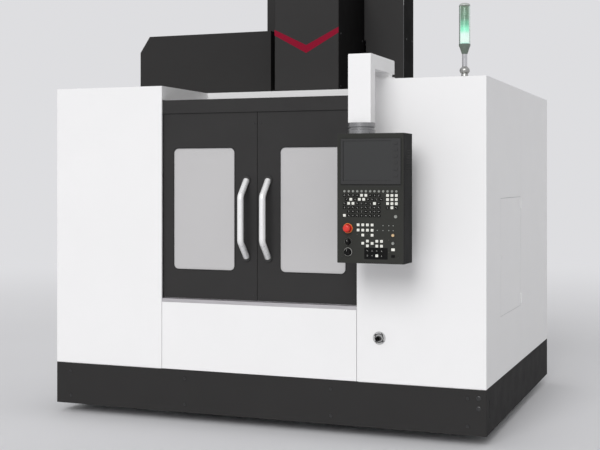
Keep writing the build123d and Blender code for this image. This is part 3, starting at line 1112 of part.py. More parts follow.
def electrical_door():
    """Rear door pan with folded edges, two groups of louvres, a lever handle and a knuckle on each hinge."""
    half, front = ECAB_W / 2, ECAB_REAR - ECAB_DOOR_T
    z0, z1 = ECAB_Z
    pan = block(-half, half, front, ECAB_REAR, z0, z1)
    pan -= block(-half + SHEET, half - SHEET, front - CUT, ECAB_REAR - SHEET, z0 + SHEET, z1 - SHEET)
    slot = Rot(90, 0, 0) * extrude(SlotOverall(LOUVRE_L, LOUVRE_H), amount=2 * SHEET, both=True)
    for low in (z0 + 160.0, z1 - 160.0 - (LOUVRE_COUNT - 1) * LOUVRE_PITCH):
        for i in range(LOUVRE_COUNT):
            for x in (-half / 2, half / 2):
                pan -= Pos(x, ECAB_REAR, low + i * LOUVRE_PITCH) * slot
    x, y = ECAB_AXIS
    for z in (z0 + 150.0, z1 - 150.0):
        knuckle = rod_z(x, y, z - 4.5, z + 50.0, 8.0) + block(half - SHEET, x, y + 4.0, y + 8.0, z - 4.5, z + 50.0)
        pan += knuckle - rod_z(x, y, z - 5.0, z + 51.0, 4.0 + PIVOT_GAP)
    lock = Pos(-half + 60.0, ECAB_REAR, (z0 + z1) / 2) * Rot(90, 0, 0)
    pan += lock * extrude(RectangleRounded(44.0, 160.0, 12.0), 20.0)
    pan -= lock * Pos(0, 0, -CUT) * extrude(RectangleRounded(34.0, 150.0, 8.0), 12.0 + CUT)
    return pan + lock * Pos(0, -10.0, 2.0) * extrude(SlotOverall(120.0, 22.0, rotation=90), 12.0)


# Pendant


def swivel_flange():
    """Turned flange on the roof that the arm swivels on, with its screw heads."""
    plate_t, rim = 12.0, 18.0
    flange = rod_z(0, 0, CABINET_TOP, CABINET_TOP + plate_t, FLANGE_R + rim)
    flange += rod_z(0, 0, CABINET_TOP + plate_t, ARM_LOW, FLANGE_R)
    for x, y in ring_of(6, FLANGE_R + rim / 2, 30.0):
        flange += rod_z(x, y, CABINET_TOP + plate_t, CABINET_TOP + plate_t + 6.0, 5.5)
    flange -= rod_z(0, 0, CABINET_TOP + 4.0, ARM_LOW + CUT, SPIGOT_R + SPIGOT_GAP)
    return Pos(ARM_X, FRONT_Y + ARM_PIVOT_BACK, 0) * flange


def pendant_arm():
    """Bent hollow-section arm: a beam over the roof and a post down to the pendant."""
    x0, pivot_y = ARM_X - ARM_W / 2, FRONT_Y + ARM_PIVOT_BACK
    front, end, top = PENDANT_Y - ARM_T / 2, pivot_y + ARM_REAR, ARM_LOW + ARM_T
    side = [(front, NECK_Z[1]), (front + ARM_T, NECK_Z[1]), (front + ARM_T, ARM_LOW), (end, ARM_LOW), (end, top),
            (front, top)]
    arm = prism([(x0, y, z) for y, z in side], (ARM_W, 0, 0))
    arm = fillet(arm.edges().filter_by(Axis.X).group_by(Axis.Z)[-1], 10.0)
    return arm + rod_z(ARM_X, pivot_y, CABINET_TOP + 6.0, ARM_LOW + CUT, SPIGOT_R)


def pendant_neck():
    """Round swivel neck with a turned waist and the spigot that the pendant hangs on."""
    z0, z1 = NECK_Z
    waist = NECK_R - 4.0
    body = turned([(0, z0 - 40), (SPIGOT_R, z0 - 40), (SPIGOT_R, z0), (NECK_R, z0), (NECK_R, z0 + 22),
                   (waist, z0 + 26), (waist, z0 + 34), (NECK_R, z0 + 38), (NECK_R, z1), (0, z1)])
    return Pos(ARM_X, PENDANT_Y, 0) * body


def pendant_housing():
    """Folded pendant box, open in front behind the control plate, with a boss around the spigot."""
    x0, x1 = PENDANT_X, PENDANT_X + PENDANT_W
    y0, y1 = PENDANT_FACE, PENDANT_Y + PENDANT_D / 2
    z0, z1 = PENDANT_Z0, NECK_Z[0]
    shell = block(x0, x1, y0, y1, z0, z1)
    shell = fillet(shell.edges().filter_by(Axis.Z), 2 * BEND_R)
    shell -= block(x0 + SHEET, x1 - SHEET, y0 - CUT, y1 - SHEET, z0 + SHEET, z1 - SHEET)
    shell += rod_z(ARM_X, PENDANT_Y, z1 - 46.0, z1 - CUT, SPIGOT_R + 14.0)
    return shell - rod_z(ARM_X, PENDANT_Y, z1 - 41.0, z1 + CUT, SPIGOT_R + SPIGOT_GAP)


def pendant_block(xs, ys, zs, grow=0.0):
    """Block on the pendant, with its X and Z given from the lower left corner."""
    return block(PENDANT_X + xs[0] - grow, PENDANT_X + xs[1] + grow, *ys,
                 PENDANT_Z0 + zs[0] - grow, PENDANT_Z0 + zs[1] + grow)


def pendant_rod(place, y0, y1, radius):
    """Round body through the pendant's front, at a place measured from the lower left corner."""
    return rod_y(PENDANT_X + place[0], PENDANT_Z0 + place[1], y0, y1, radius)


def control_plate():
    """Front plate over the whole pendant, pierced for the screen and the turned controls."""
    plate = pendant_block((0, PENDANT_W), (PLATE_FACE, PENDANT_FACE), (0, PENDANT_H), -1.0)
    plate -= pendant_block(GLASS_X, (PLATE_FACE - CUT, PENDANT_FACE + CUT), GLASS_Z, 4.0)
    plate += pendant_rod(ESTOP_AT, PLATE_FACE - 3.0, PLATE_FACE + CUT, ESTOP_R + 8.0)
    plate += pendant_rod(ESTOP_AT, PLATE_FACE - 12.0, PLATE_FACE, ESTOP_STEM_R + 4.0)
    for place, radius in ((ESTOP_AT, ESTOP_STEM_R), (FEED_AT, STEM_R), (MODE_AT, STEM_R)):
        plate -= pendant_rod(place, PLATE_FACE - 13.0, PENDANT_FACE + CUT, radius + PIVOT_GAP)
    return plate


def screen_bezel():
    """Raised frame round the display, with a column of soft keys on its right."""
    face = PLATE_FACE - BEZEL_T
    bezel = pendant_block(BEZEL_X, (face, PLATE_FACE), BEZEL_Z)
    bezel = chamfer(bezel.faces().sort_by(Axis.Y)[0].edges(), 3.0)
    bezel -= pendant_block(GLASS_X, (face - CUT, PLATE_FACE + CUT), GLASS_Z)
    key_x = (GLASS_X[1] + 16.0, GLASS_X[1] + 36.0)
    for i in range(6):
        low = GLASS_Z[0] + 20.0 + i * 35.0
        bezel += pendant_block(key_x, (face - 2.5, face + CUT), (low, low + KEY_H))
    return bezel


def screen_glass():
    return pendant_block(GLASS_X, (PLATE_FACE - GLASS_T, PLATE_FACE), GLASS_Z, -0.5)


def key(x, z):
    """Rectangular key cap standing on the control plate."""
    return pendant_block((x - KEY_W / 2, x + KEY_W / 2), (PLATE_FACE - KEY_T, PLATE_FACE),
                         (z - KEY_H / 2, z + KEY_H / 2))


def panel_keys():
    """Every key cap of the keyboard and the operator field, in the order of its rows."""
    face = PLATE_FACE - KEY_T
    keys = [pendant_rod((FIRST_KEY_X + i * KEY_PITCH, SOFT_KEY_Z), face, PLATE_FACE, SOFT_KEY_R) for i in range(13)]
    letters, numbers = range(9), range(10, 13)
    stagger = 0.5
    rows = [[*letters, *numbers], [*(c + stagger for c in letters), *numbers], [*letters, *numbers],
            [*letters, *numbers], range(1, 9), range(1, 9)]
    for row, columns in enumerate(rows):
        for column in columns:
            keys.append(key(FIRST_KEY_X + column * KEY_PITCH, MDI_TOP - row * MDI_ROW_PITCH))
    for z, columns in OPERATOR_KEYS:
        for column in columns:
            keys.append(key(OPERATOR_X + column * OPERATOR_PITCH, z))
    for z in SIDE_BUTTONS:
        keys.append(pendant_rod((SIDE_BUTTON_X, z), PLATE_FACE - 8.0, PLATE_FACE, SIDE_BUTTON_R))
    return keys


def turned_control(place, outline):
    """A control turned about the Y axis at its place on the plate; outline is (radius, depth in front)."""
    body = turned([(r, -out) for r, out in outline], Axis.Y)
    return Pos(PENDANT_X + place[0], PLATE_FACE, PENDANT_Z0 + place[1]) * body


def estop_button():
    """Mushroom button that travels into the plate."""
    inside, collar = -20.0, 20.0
    return turned_control(ESTOP_AT, [(0, inside), (ESTOP_STEM_R, inside), (ESTOP_STEM_R, collar), (ESTOP_R, collar),
                                     (ESTOP_R, collar + 10), (ESTOP_R - 4, ESTOP_H - 3), (ESTOP_R - 10, ESTOP_H),
                                     (0, ESTOP_H)])


def selector_knob(place, radius, height):
    """Turned knob on a stem, with a pointer ridge across its top."""
    inside, lift, rim = -14.0, 1.0, 4.0
    knob = turned_control(place, [(0, inside), (STEM_R, inside), (STEM_R, lift), (radius, lift), (radius, rim),
                                  (radius - 3, rim + 2), (radius - 4, height), (0, height)])
    x, z = place
    return knob + pendant_block((x - 2, x + 2), (PLATE_FACE - height - 3, PLATE_FACE - height + 1), (z, z + radius - 5))


# Tower light


def tower_light_base():
    """Foot, stem, ball joint and cup of the tower light."""
    stem_r, ball_r, foot, lens = 15.0, 30.0, CABINET_TOP, CABINET_TOP + LENS_ABOVE_ROOF[0]
    cup_r = LENS_R + 1.0
    body = turned([(0, foot), (45, foot), (45, foot + 8), (ball_r, foot + 16), (stem_r, foot + 20),
                   (stem_r, foot + 80), (24, foot + 86), (ball_r, foot + 100), (ball_r, foot + 116),
                   (24, foot + 130), (stem_r, foot + 136), (stem_r, lens - 40), (cup_r, lens - 6), (cup_r, lens),
                   (0, lens)])
    return Pos(HALF_W - TOWER_IN, FRONT_Y + TOWER_BACK, 0) * body


def tower_light_lens():
    """Clear lens tube with a rounded cap."""
    z0, z1 = (CABINET_TOP + z for z in LENS_ABOVE_ROOF)
    body = turned([(0, z0), (LENS_R, z0), (LENS_R, z1 - 14), (LENS_R - 4, z1 - 5), (LENS_R - 14, z1), (0, z1)])
    return Pos(HALF_W - TOWER_IN, FRONT_Y + TOWER_BACK, 0) * body


save("bed_casting", bed_casting())
save("column_casting", column_casting())
save("levelling_feet", *[levelling_foot(sign * FOOT_X, y) for y in FOOT_YS for sign in (-1, 1)])
save("guide_rails", *guide_rails())
save("axis_motors", *axis_motors())
save("y_ballscrew", y_ballscrew())
save("z_ballscrew", z_ballscrew())
save("saddle", saddle())
save("x_rails", *x_rails())
save("x_ballscrew", x_ballscrew())
save("x_motor", x_motor())
save("table", table())
save("y_cover_middle", way_cover(1, (FIXED_COVER_Y + SADDLE_COVER_Y) / 2))
save("y_cover_saddle", way_cover(2, SADDLE_COVER_Y))
save("headstock", headstock())
save("head_cover", head_cover())
save("spindle_cartridge", spindle_cartridge())
save("spindle", spindle())
save("spindle_motor", spindle_motor())
save("column_cover", column_cover())
save("magazine_cover", magazine_cover())
save("magazine_disc", magazine_disc())
save("tool_pots", *tool_pots())
save("change_pot", change_pot())
save("atc_gearbox", atc_gearbox())
save("atc_shaft", atc_shaft())
save("atc_arm", atc_arm())
save("right_cabinet", right_cabinet())
save("left_cabinet", left_cabinet())
save("side_hatch", side_hatch())
save("rear_beam", rear_beam())
save("front_lower_panel", front_lower_panel())
save("sill_rail", sill_rail())
save("door_header", door_header())
save("splash_guard", splash_guard())
save("right_door", right_door())
save("left_door", mirrored(right_door()))
save("right_window", right_window())
save("left_window", mirrored(right_window()))
save("right_handle", right_handle())
save("left_handle", mirrored(right_handle()))
save("front_skirt", front_skirt())
save("side_skirts", side_skirt(-1), side_skirt(1))
save("coolant_tank", coolant_tank())
save("air_coupling", air_coupling())
save("electrical_cabinet", electrical_cabinet())
save("electrical_door", electrical_door())
save("swivel_flange", swivel_flange())
save("pendant_arm", pendant_arm())
save("pendant_neck", pendant_neck())
save("pendant_housing", pendant_housing())
save("control_plate", control_plate())
save("screen_bezel", screen_bezel())
save("screen_glass", screen_glass())
save("panel_keys", *panel_keys())
save("estop_button", estop_button())
save("feed_knob", selector_knob(FEED_AT, 16.5, 18.0))
save("mode_knob", selector_knob(MODE_AT, 21.0, 20.0))
save("tower_light_base", tower_light_base())
save("tower_light_lens", tower_light_lens())
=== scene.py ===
import math

import bmesh
import bpy
from bpy.props import FloatProperty, FloatVectorProperty, IntProperty, PointerProperty
from bpy.types import Operator, Panel, PropertyGroup
from mathutils import Matrix, Vector


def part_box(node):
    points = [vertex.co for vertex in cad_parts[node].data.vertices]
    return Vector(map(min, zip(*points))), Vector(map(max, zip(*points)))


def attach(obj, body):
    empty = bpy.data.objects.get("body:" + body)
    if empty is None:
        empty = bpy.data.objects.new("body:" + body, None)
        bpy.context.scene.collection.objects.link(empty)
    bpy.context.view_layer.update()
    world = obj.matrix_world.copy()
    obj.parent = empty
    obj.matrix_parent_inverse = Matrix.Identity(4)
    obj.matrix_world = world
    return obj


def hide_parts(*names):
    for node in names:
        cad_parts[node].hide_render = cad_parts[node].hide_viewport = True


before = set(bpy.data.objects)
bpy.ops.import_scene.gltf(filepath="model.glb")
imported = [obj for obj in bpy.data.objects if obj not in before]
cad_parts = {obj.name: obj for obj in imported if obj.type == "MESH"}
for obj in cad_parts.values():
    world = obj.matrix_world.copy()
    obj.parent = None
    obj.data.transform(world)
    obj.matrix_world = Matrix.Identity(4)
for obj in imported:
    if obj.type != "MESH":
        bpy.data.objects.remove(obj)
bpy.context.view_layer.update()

bl_info = {
    "name": "Machining center dress",
    "version": (1, 0, 0),
    "blender": (4, 5, 0),
    "location": "View3D > Sidebar > Machine",
    "description": "Finishes, fasteners, gaskets, keys and studio for an enclosed machining center",
    "category": "Object",
}

FRONT = Vector((0.0, -1.0, 0.0))
REAR = Vector((0.0, 1.0, 0.0))
RIGHT = Vector((1.0, 0.0, 0.0))
LEFT = Vector((-1.0, 0.0, 0.0))
UP = Vector((0.0, 0.0, 1.0))
DOWN = Vector((0.0, 0.0, -1.0))
PROUD = 0.0006  # how far painted marks stand out of their sheet
SIDES = (-1, 1)
DOORS = ((1, "right"), (-1, "left"))

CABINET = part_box("right_cabinet")
FRONT_Y = CABINET[0].y
REAR_Y = CABINET[1].y
SIDE_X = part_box("front_skirt")[1].x
ROOF_Z = CABINET[1].z
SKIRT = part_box("front_skirt")
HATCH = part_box("side_hatch")
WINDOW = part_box("right_window")
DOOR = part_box("right_door")
DOOR_FACE = DOOR[0].y
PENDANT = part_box("pendant_housing")
PLATE_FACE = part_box("screen_bezel")[1].y
HEAD_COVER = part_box("head_cover")
COLUMN_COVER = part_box("column_cover")
MAGAZINE_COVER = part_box("magazine_cover")
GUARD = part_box("splash_guard")
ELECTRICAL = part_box("electrical_cabinet")
ELECTRICAL_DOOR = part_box("electrical_door")
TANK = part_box("coolant_tank")
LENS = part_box("tower_light_lens")
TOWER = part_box("tower_light_base")
SPINDLE_AT = (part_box("spindle")[0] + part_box("spindle")[1]) / 2
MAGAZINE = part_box("magazine_disc")
SHEET = 0.003  # thickness of the inner sheets


# Mesh helpers


def placed(at, normal=UP, turn=0.0):
    """Matrix that puts a shape made along +Z at a point, along a normal."""
    turned = UP.rotation_difference(Vector(normal)).to_matrix().to_4x4()
    return Matrix.Translation(at) @ turned @ Matrix.Rotation(turn, 4, "Z")


def join(bm, part, matrix=None):
    """Adds a finished shape to a mesh, moved by a matrix, and frees it."""
    if matrix:
        bmesh.ops.transform(part, matrix=matrix, verts=list(part.verts))
    mesh = bpy.data.meshes.new("joined")
    part.to_mesh(mesh)
    part.free()
    bm.from_mesh(mesh)
    bpy.data.meshes.remove(mesh)


def round_off(bm, geom, offset, segments=2, affect="EDGES"):
    """Rounds edges, or the corners of a flat outline."""
    bmesh.ops.bevel(bm, geom=geom, offset=offset, segments=segments, affect=affect, profile=0.5,
                    material=-1)


def push(bm, faces, along):
    """Extrudes faces along a vector."""
    pushed = bmesh.ops.extrude_face_region(bm, geom=faces)
    moved = [v for v in pushed["geom"] if isinstance(v, bmesh.types.BMVert)]
    bmesh.ops.translate(bm, verts=moved, vec=along)


def plate(bm, low, high, edge=0.0, segments=2, matrix=None):
    """Block between two corners, with rounded edges."""
    low, high = Vector(low), Vector(high)
    scaled = Matrix.Translation((low + high) / 2) @ Matrix.Diagonal((*(high - low), 1.0))
    made = bmesh.ops.create_cube(bm, size=1.0, matrix=(matrix @ scaled) if matrix else scaled)
    if edge:
        round_off(bm, list({e for v in made["verts"] for e in v.link_edges}), edge, segments)


def both(bm, low, high, edge=0.0, segments=2):
    """The same block on the left and on the right of the machine's middle."""
    for side in SIDES:
        x0, x1 = sorted((side * low[0], side * high[0]))
        plate(bm, (x0, *low[1:]), (x1, *high[1:]), edge, segments)


def spokes(bm, centre, count, low, high, offset=0.0):
    """The same block again and again round an upright axis."""
    for i in range(count):
        turn = Matrix.Rotation(math.tau * (i + offset) / count, 4, "Z")
        plate(bm, low, high, 0.0, 1, Matrix.Translation(centre) @ turn)


def disc(bm, at, normal, radius, depth, segments=24, edge=0.0):
    """Round body that stands on a point along a normal, with its far rim rounded."""
    at, normal = Vector(at), Vector(normal)
    made = bmesh.ops.create_cone(bm, cap_ends=True, cap_tris=False, segments=segments, radius1=radius,
                                 radius2=radius, depth=depth, matrix=placed(at + normal * depth / 2, normal))
    if edge:
        far = {v for v in made["verts"] if (v.co - at).dot(normal) > depth / 2}
        round_off(bm, [e for e in {e for v in far for e in v.link_edges} if set(e.verts) <= far], edge)


def lathe(bm, outline, at, normal=UP, steps=32, closed=False):
    """Body of revolution from (radius, height) points; a closed outline gives a ring."""
    part = bmesh.new()
    corners = [part.verts.new((radius, 0.0, height)) for radius, height in outline]
    pairs = list(zip(corners, corners[1:] + corners[:1] if closed else corners[1:]))
    lines = [part.edges.new(pair) for pair in pairs]
    bmesh.ops.spin(part, geom=corners + lines, cent=(0, 0, 0), axis=UP, dvec=(0, 0, 0), angle=math.tau,
                   steps=steps, use_merge=True, use_duplicate=False)
    bmesh.ops.remove_doubles(part, verts=list(part.verts), dist=1e-6)
    join(bm, part, placed(at, normal))


def ring(bm, at, normal, inner, outer, low, high, steps=32):
    """Flat ring between two radii and two heights along a normal."""
    lathe(bm, [(inner, low), (outer, low), (outer, high), (inner, high)], at, normal, steps, closed=True)


def slab(bm, outline, along):
    """Flat outline pushed along a vector into a solid."""
    push(bm, [bm.faces.new([bm.verts.new(point) for point in outline])], along)


def socket_screw(bm, at, normal, radius=0.006, height=0.003):
    """Low round screw head with a socket in its face."""
    at, normal = Vector(at), Vector(normal)
    made = bmesh.ops.create_cone(bm, cap_ends=True, cap_tris=False, segments=12, radius1=radius,
                                 radius2=radius * 0.86, depth=height,
                                 matrix=placed(at + normal * height / 2, normal))
    faces = {f for v in made["verts"] for f in v.link_faces}
    for face in faces:
        face.normal_update()
    top = max(faces, key=lambda f: (f.calc_center_median() - at).dot(normal))
    for inward in (0.42, 0.03):
        bmesh.ops.inset_region(bm, faces=[top], thickness=radius * inward, use_even_offset=True)
    bmesh.ops.translate(bm, verts=list(top.verts), vec=-normal * height * 0.7)


def knurled(bm, at, normal, radius, depth, ridges, groove=0.93):
    """Grip wheel whose rim alternates between ridges and grooves."""
    part = bmesh.new()
    bmesh.ops.create_cone(part, cap_ends=True, cap_tris=False, segments=2 * ridges, radius1=radius,
                          radius2=radius, depth=depth, matrix=Matrix.Translation(UP * depth / 2))
    for vert in part.verts:
        if round(math.atan2(vert.co.y, vert.co.x) / math.tau * 2 * ridges) % 2:
            vert.co.xy *= groove
    caps = [f for f in part.faces if len(f.verts) == 2 * ridges]
    bmesh.ops.inset_region(part, faces=caps, thickness=radius * 0.06, depth=radius * 0.04,
                           use_even_offset=False)
    join(bm, part, placed(at, normal))


def helix(bm, at, normal, length, lead, root, crest, steps):
    """Rolled thread of a ball screw: one tooth's outline is wound along the shaft and capped at both ends."""
    part = bmesh.new()
    tooth = [(root, 0.0), (root, 0.24), (crest, 0.34), (crest, 0.9), (root, 1.0)]
    corners = [part.verts.new((radius, 0.0, share * lead)) for radius, share in tooth]
    lines = [part.edges.new(pair) for pair in zip(corners, corners[1:])]
    turns = length / lead - 1.0
    count = int(turns * steps)
    bmesh.ops.spin(part, geom=corners + lines, cent=(0, 0, 0), axis=UP, dvec=UP * lead / steps,
                   angle=math.tau * count / steps, steps=count, use_merge=False, use_duplicate=False)
    bmesh.ops.remove_doubles(part, verts=list(part.verts), dist=lead * 0.01)
    bmesh.ops.holes_fill(part, edges=[e for e in part.edges if e.is_boundary], sides=0)
    join(bm, part, placed(at, normal))


def tube(bm, points, radius, sides=12):
    """Round tube whose rings stand on the points of a path and are bridged to each other."""
    part = bmesh.new()
    points = [Vector(point) for point in points]
    rings = []
    for i, point in enumerate(points):
        way = (points[min(i + 1, len(points) - 1)] - points[max(i - 1, 0)]).normalized()
        made = bmesh.ops.create_circle(part, cap_ends=False, segments=sides, radius=radius,
                                       matrix=placed(point, way))
        rings.append(list({e for v in made["verts"] for e in v.link_edges}))
    for near, far in zip(rings, rings[1:]):
        bmesh.ops.bridge_loops(part, edges=near + far)
    bmesh.ops.holes_fill(part, edges=[e for e in part.edges if e.is_boundary], sides=0)
    join(bm, part)


def rounded_frame(bm, low, high, y, corner, inner, outer, depth):
    """Rounded rectangular band in the XZ plane; inner and outer are measured from the outline."""
    part = bmesh.new()
    x0, x1, z0, z1 = low.x - outer, high.x + outer, low.z - outer, high.z + outer
    face = part.faces.new([part.verts.new((x, y, z)) for x, z in ((x0, z0), (x1, z0), (x1, z1), (x0, z1))])
    round_off(part, list(face.verts), corner + outer, 8, "VERTICES")
    face = max(part.faces, key=lambda f: len(f.verts))
    bmesh.ops.inset_region(part, faces=[face], thickness=outer + inner, use_even_offset=True,
                           use_boundary=True)
    bmesh.ops.delete(part, geom=[face], context="FACES_KEEP_BOUNDARY")
    push(part, list(part.faces), FRONT * depth)
    join(bm, part)


def linked(name, data):
    """New object in the scene."""
    obj = bpy.data.objects.new(name, data)
    bpy.context.scene.collection.objects.link(obj)
    return obj


def mesh_object(name, bm, material):
    """Turns a bmesh into an object with one material."""
    mesh = bpy.data.meshes.new(name)
    bm.to_mesh(mesh)
    bm.free()
    mesh.materials.append(material)
    return linked(name, mesh)


def piece(name, bm, body, paint, smooth=True, replaced=()):
    """Turns a bmesh into a piece of the machine that rides on a CAD body."""
    bmesh.ops.recalc_face_normals(bm, faces=list(bm.faces))
    obj = mesh_object(name, bm, finish(paint))
    mesh = obj.data
    if smooth:
        mesh.polygons.foreach_set("use_smooth", [True] * len(mesh.polygons))
        mesh.set_sharp_from_angle(angle=math.radians(35.0))
    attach(obj, body)
    for node in replaced:
        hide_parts(node)


# Places of screws


def screws(name, spots, body, radius, height=0.003, paint="fastener"):
    """One piece that holds every screw head of a group; spots are (place, normal)."""
    bm = bmesh.new()
    for at, normal in spots:
        socket_screw(bm, at, normal, radius, height)
    piece(name, bm, body, paint)


def grid(xs, ys, zs, normal):
    """Places at every mix of the coordinates, with the normal that they share."""
    return [(Vector((x, y, z)), normal) for x in xs for y in ys for z in zs]


def on_flanks(x, ys, zs):
    """Places on both sides of the machine that face outwards."""
    return [spot for side in SIDES for spot in grid((side * x,), ys, zs, RIGHT * side)]


def around(middle, reach):
    """Two coordinates, below and above a middle."""
    return middle - reach, middle + reach


def angles(count, start=0.0):
    """Angles spread evenly over a full turn."""
    return [start + math.tau * i / count for i in range(count)]


# Finishes


def linear(colour):
    """Screen colour as the light that a shader works in."""
    return [c / 12.92 if c <= 0.04045 else ((c + 0.055) / 1.055) ** 2.4 for c in colour]


SOCKETS = {"metallic": "Metallic", "roughness": "Roughness", "coat": "Coat Weight",
           "specular": "Specular IOR Level", "coat_roughness": "Coat Roughness", "ior": "IOR",
           "transmission": "Transmission Weight", "glow": "Emission Strength",
           "glow_colour": "Emission Color"}
NOISE_LOW, NOISE_HIGH = 0.3, 0.7  # most of a noise lies between these


def add_node(tree, kind, values=None, fed=None, **settings):
    """New shader node with its settings, its input values and the outputs that feed its inputs."""
    made = tree.nodes.new("ShaderNode" + kind)
    for setting, value in settings.items():
        setattr(made, setting, value)
    for socket, value in (values or {}).items():
        made.inputs[socket].default_value = value
    for socket, source in (fed or {}).items():
        tree.links.new(source, made.inputs[socket])
    return made


class Finish:
    """A node material that is built step by step on the piece's own coordinates."""

    def __init__(self, name, **settings):
        self.material = bpy.data.materials.new(name)
        self.material.use_nodes = True
        self.nodes = self.material.node_tree.nodes
        self.links = self.material.node_tree.links
        self.shader = self.nodes["Principled BSDF"]
        where = self.node("TexCoord")
        self.coords, self.facing = where.outputs["Object"], where.outputs["Normal"]
        for setting, value in settings.items():
            self.shader.inputs[SOCKETS[setting]].default_value = value

    def node(self, kind, values=None, fed=None, **settings):
        """New node of this material."""
        return add_node(self.material.node_tree, kind, values, fed, **settings)

    def noise(self, scale, detail=2.0, stretch=(1.0, 1.0, 1.0)):
        """Noise over the piece; stretch draws it out along an axis."""
        mapping = self.node("Mapping", {"Scale": stretch}, {"Vector": self.coords})
        texture = self.node("TexNoise", {"Scale": scale, "Detail": detail},
                            {"Vector": mapping.outputs["Vector"]})
        return texture.outputs["Fac"]

    def sum(self, first, second, share):
        """Two patterns added, the second at a share of its strength."""
        return self.node("Math", {1: share}, {0: second, 2: first}, operation="MULTIPLY_ADD").outputs["Value"]

    def pattern(self, settings):
        """A noise from its settings, or from a list of two noises and the second one's share."""
        if isinstance(settings, list):
            first, second, share = settings
            return self.sum(self.noise(*first), self.noise(*second), share)
        return self.noise(*settings)

    def spread(self, value, start, end, low=0.0, high=1.0):
        """Low to high as a value goes from start to end."""
        limits = {"From Min": start, "From Max": end, "To Min": low, "To Max": high}
        return self.node("MapRange", limits, {"Value": value}).outputs["Result"]

    def between(self, vector, axis, start, end, mirrored=False):
        """0 to 1 as one coordinate of a vector goes from start to end."""
        made = self.node("SeparateXYZ", None, {"Vector": vector}).outputs[axis]
        if mirrored:
            made = self.node("Math", None, {0: made}, operation="ABSOLUTE").outputs["Value"]
        return self.spread(made, start, end)

    def broken(self, radius):
        """The surface's normal as if its edges were rounded by a radius."""
        return self.node("Bevel", {"Radius": radius}, samples=4).outputs["Normal"]

    def edges(self, radius):
        """Where the surface turns over an edge: 0 on the flat, towards 1 on the edge."""
        flat = self.node("NewGeometry").outputs["Normal"]
        across = self.node("VectorMath", None, {0: self.broken(radius), 1: flat}, operation="DOT_PRODUCT")
        return self.spread(across.outputs["Value"], 0.995, 0.75)

    def ramp(self, pattern, stops, interpolation="LINEAR"):
        """Colour that a pattern runs through; stops are (share, linear colour), the ends first."""
        made = self.node("ValToRGB", None, {"Fac": pattern})
        made.color_ramp.interpolation = interpolation
        elements = made.color_ramp.elements
        for index, (share, colour) in enumerate(stops):
            stop = elements[index] if index < 2 else elements.new(share)
            stop.position = share
            stop.color = (*colour, 1.0)
        return made.outputs["Color"]

    def colour(self, colour, pattern, variation, turns=()):
        """Base colour that drifts along a pattern; turns are (mask, colour that it turns to there)."""
        low, high = [[c * (1 + sign * variation) for c in linear(colour)] for sign in (-1, 1)]
        made = self.ramp(pattern, ((NOISE_LOW, low), (NOISE_HIGH, high)))
        for mask, other in turns:
            mix = self.node("Mix", {}, {"Factor": mask}, data_type="RGBA")
            self.links.new(made, mix.inputs["A"])
            mix.inputs["B"].default_value = (*linear(other), 1.0)
            made = mix.outputs["Result"]
        self.links.new(made, self.shader.inputs["Base Color"])

    def dress(self, colour, tint, gloss, relief):
        """Base colour, roughness and bump, each from a pattern and its amounts."""
        self.colour(colour, *tint)
        pattern, low, high = gloss
        rough = self.spread(pattern, NOISE_LOW, NOISE_HIGH, low, high)
        self.links.new(rough, self.shader.inputs["Roughness"])
        pattern, height, *edge = relief
        bump = self.node("Bump", {"Distance": height}, {"Height": pattern})
        if edge and edge[0]:
            self.links.new(self.broken(edge[0]), bump.inputs["Normal"])
        self.links.new(bump.outputs["Normal"], self.shader.inputs["Normal"])
        return self.material


def grained(name, colour, tint, gloss, relief, **settings):
    """Material whose tint, gloss and relief are each given as a noise's settings and its amounts."""
    made = Finish(name, **settings)
    return made.dress(colour, *[(made.pattern(noise), *amounts) for noise, *amounts in (tint, gloss, relief)])


def powder_coat(name, colour, roughness, variation=0.025, edge=0.0015, specular=0.5, wear_and_painted_highlight=None,
                painted_side_shade=None, peel=0.00012):
    """Textured paint on folded sheet: orange peel, a slow random drift of tone, edges lighter as wear and
    painted highlight, and faces towards ±X darker as painted shade.
    """
    made = Finish(name, specular=specular)
    turns = []
    # painted shade: faces turned towards ±X take a darker colour
    if painted_side_shade:
        turns.append((made.between(made.facing, "X", 0.6, 0.8, mirrored=True), painted_side_shade))
    # edges turn lighter: partly wear, partly painted highlight
    if wear_and_painted_highlight:
        turns.append((made.edges(edge * 1.6), wear_and_painted_highlight))
    return made.dress(colour, (made.pattern([(2.2, 3.0), (38.0,), 0.12]), variation, turns),
                      (made.noise(9.0, 3.0), roughness - 0.05, roughness + 0.06),
                      (made.pattern([(850.0,), (240.0, 1.0), 0.5]), peel, edge))


def coupling(name, plate_colour, body_colour):
    """Zinc plated mounting plate with a blackened coupling on it."""
    made = Finish(name, metallic=0.35)
    ahead = made.between(made.coords, "Y", FRONT_Y - 0.0034, FRONT_Y - 0.0042)
    return made.dress(plate_colour, (made.noise(90.0), 0.03, [(ahead, body_colour)]),
                      (made.noise(60.0), 0.3, 0.42), (made.noise(500.0), 0.00003, 0.0008))


def handle_tube(name, colour, foot):
    """Satin anodised tube of a bow handle, with its feet in the paint of the door."""
    made = Finish(name, metallic=0.4, coat=0.35)
    feet = made.between(made.coords, "Y", DOOR_FACE - 0.0095, DOOR_FACE - 0.0085)
    drawn = (1.0, 1.0, 0.05)
    return made.dress(colour, (made.noise(300.0, 2.0, (1.0, 1.0, 0.04)), 0.02, [(feet, foot)]),
                      (made.noise(160.0, 2.0, drawn), 0.26, 0.36), (made.noise(700.0, 2.0, drawn), 0.00003))


def cast_paint(name, colour):
    """Brushed enamel over a sand casting."""
    return grained(name, colour, ([(6.0, 4.0), (70.0,), 0.3], 0.06), ((30.0, 3.0), 0.38, 0.55),
                   ([(160.0, 4.0), (18.0,), 1.5], 0.0009, 0.003))


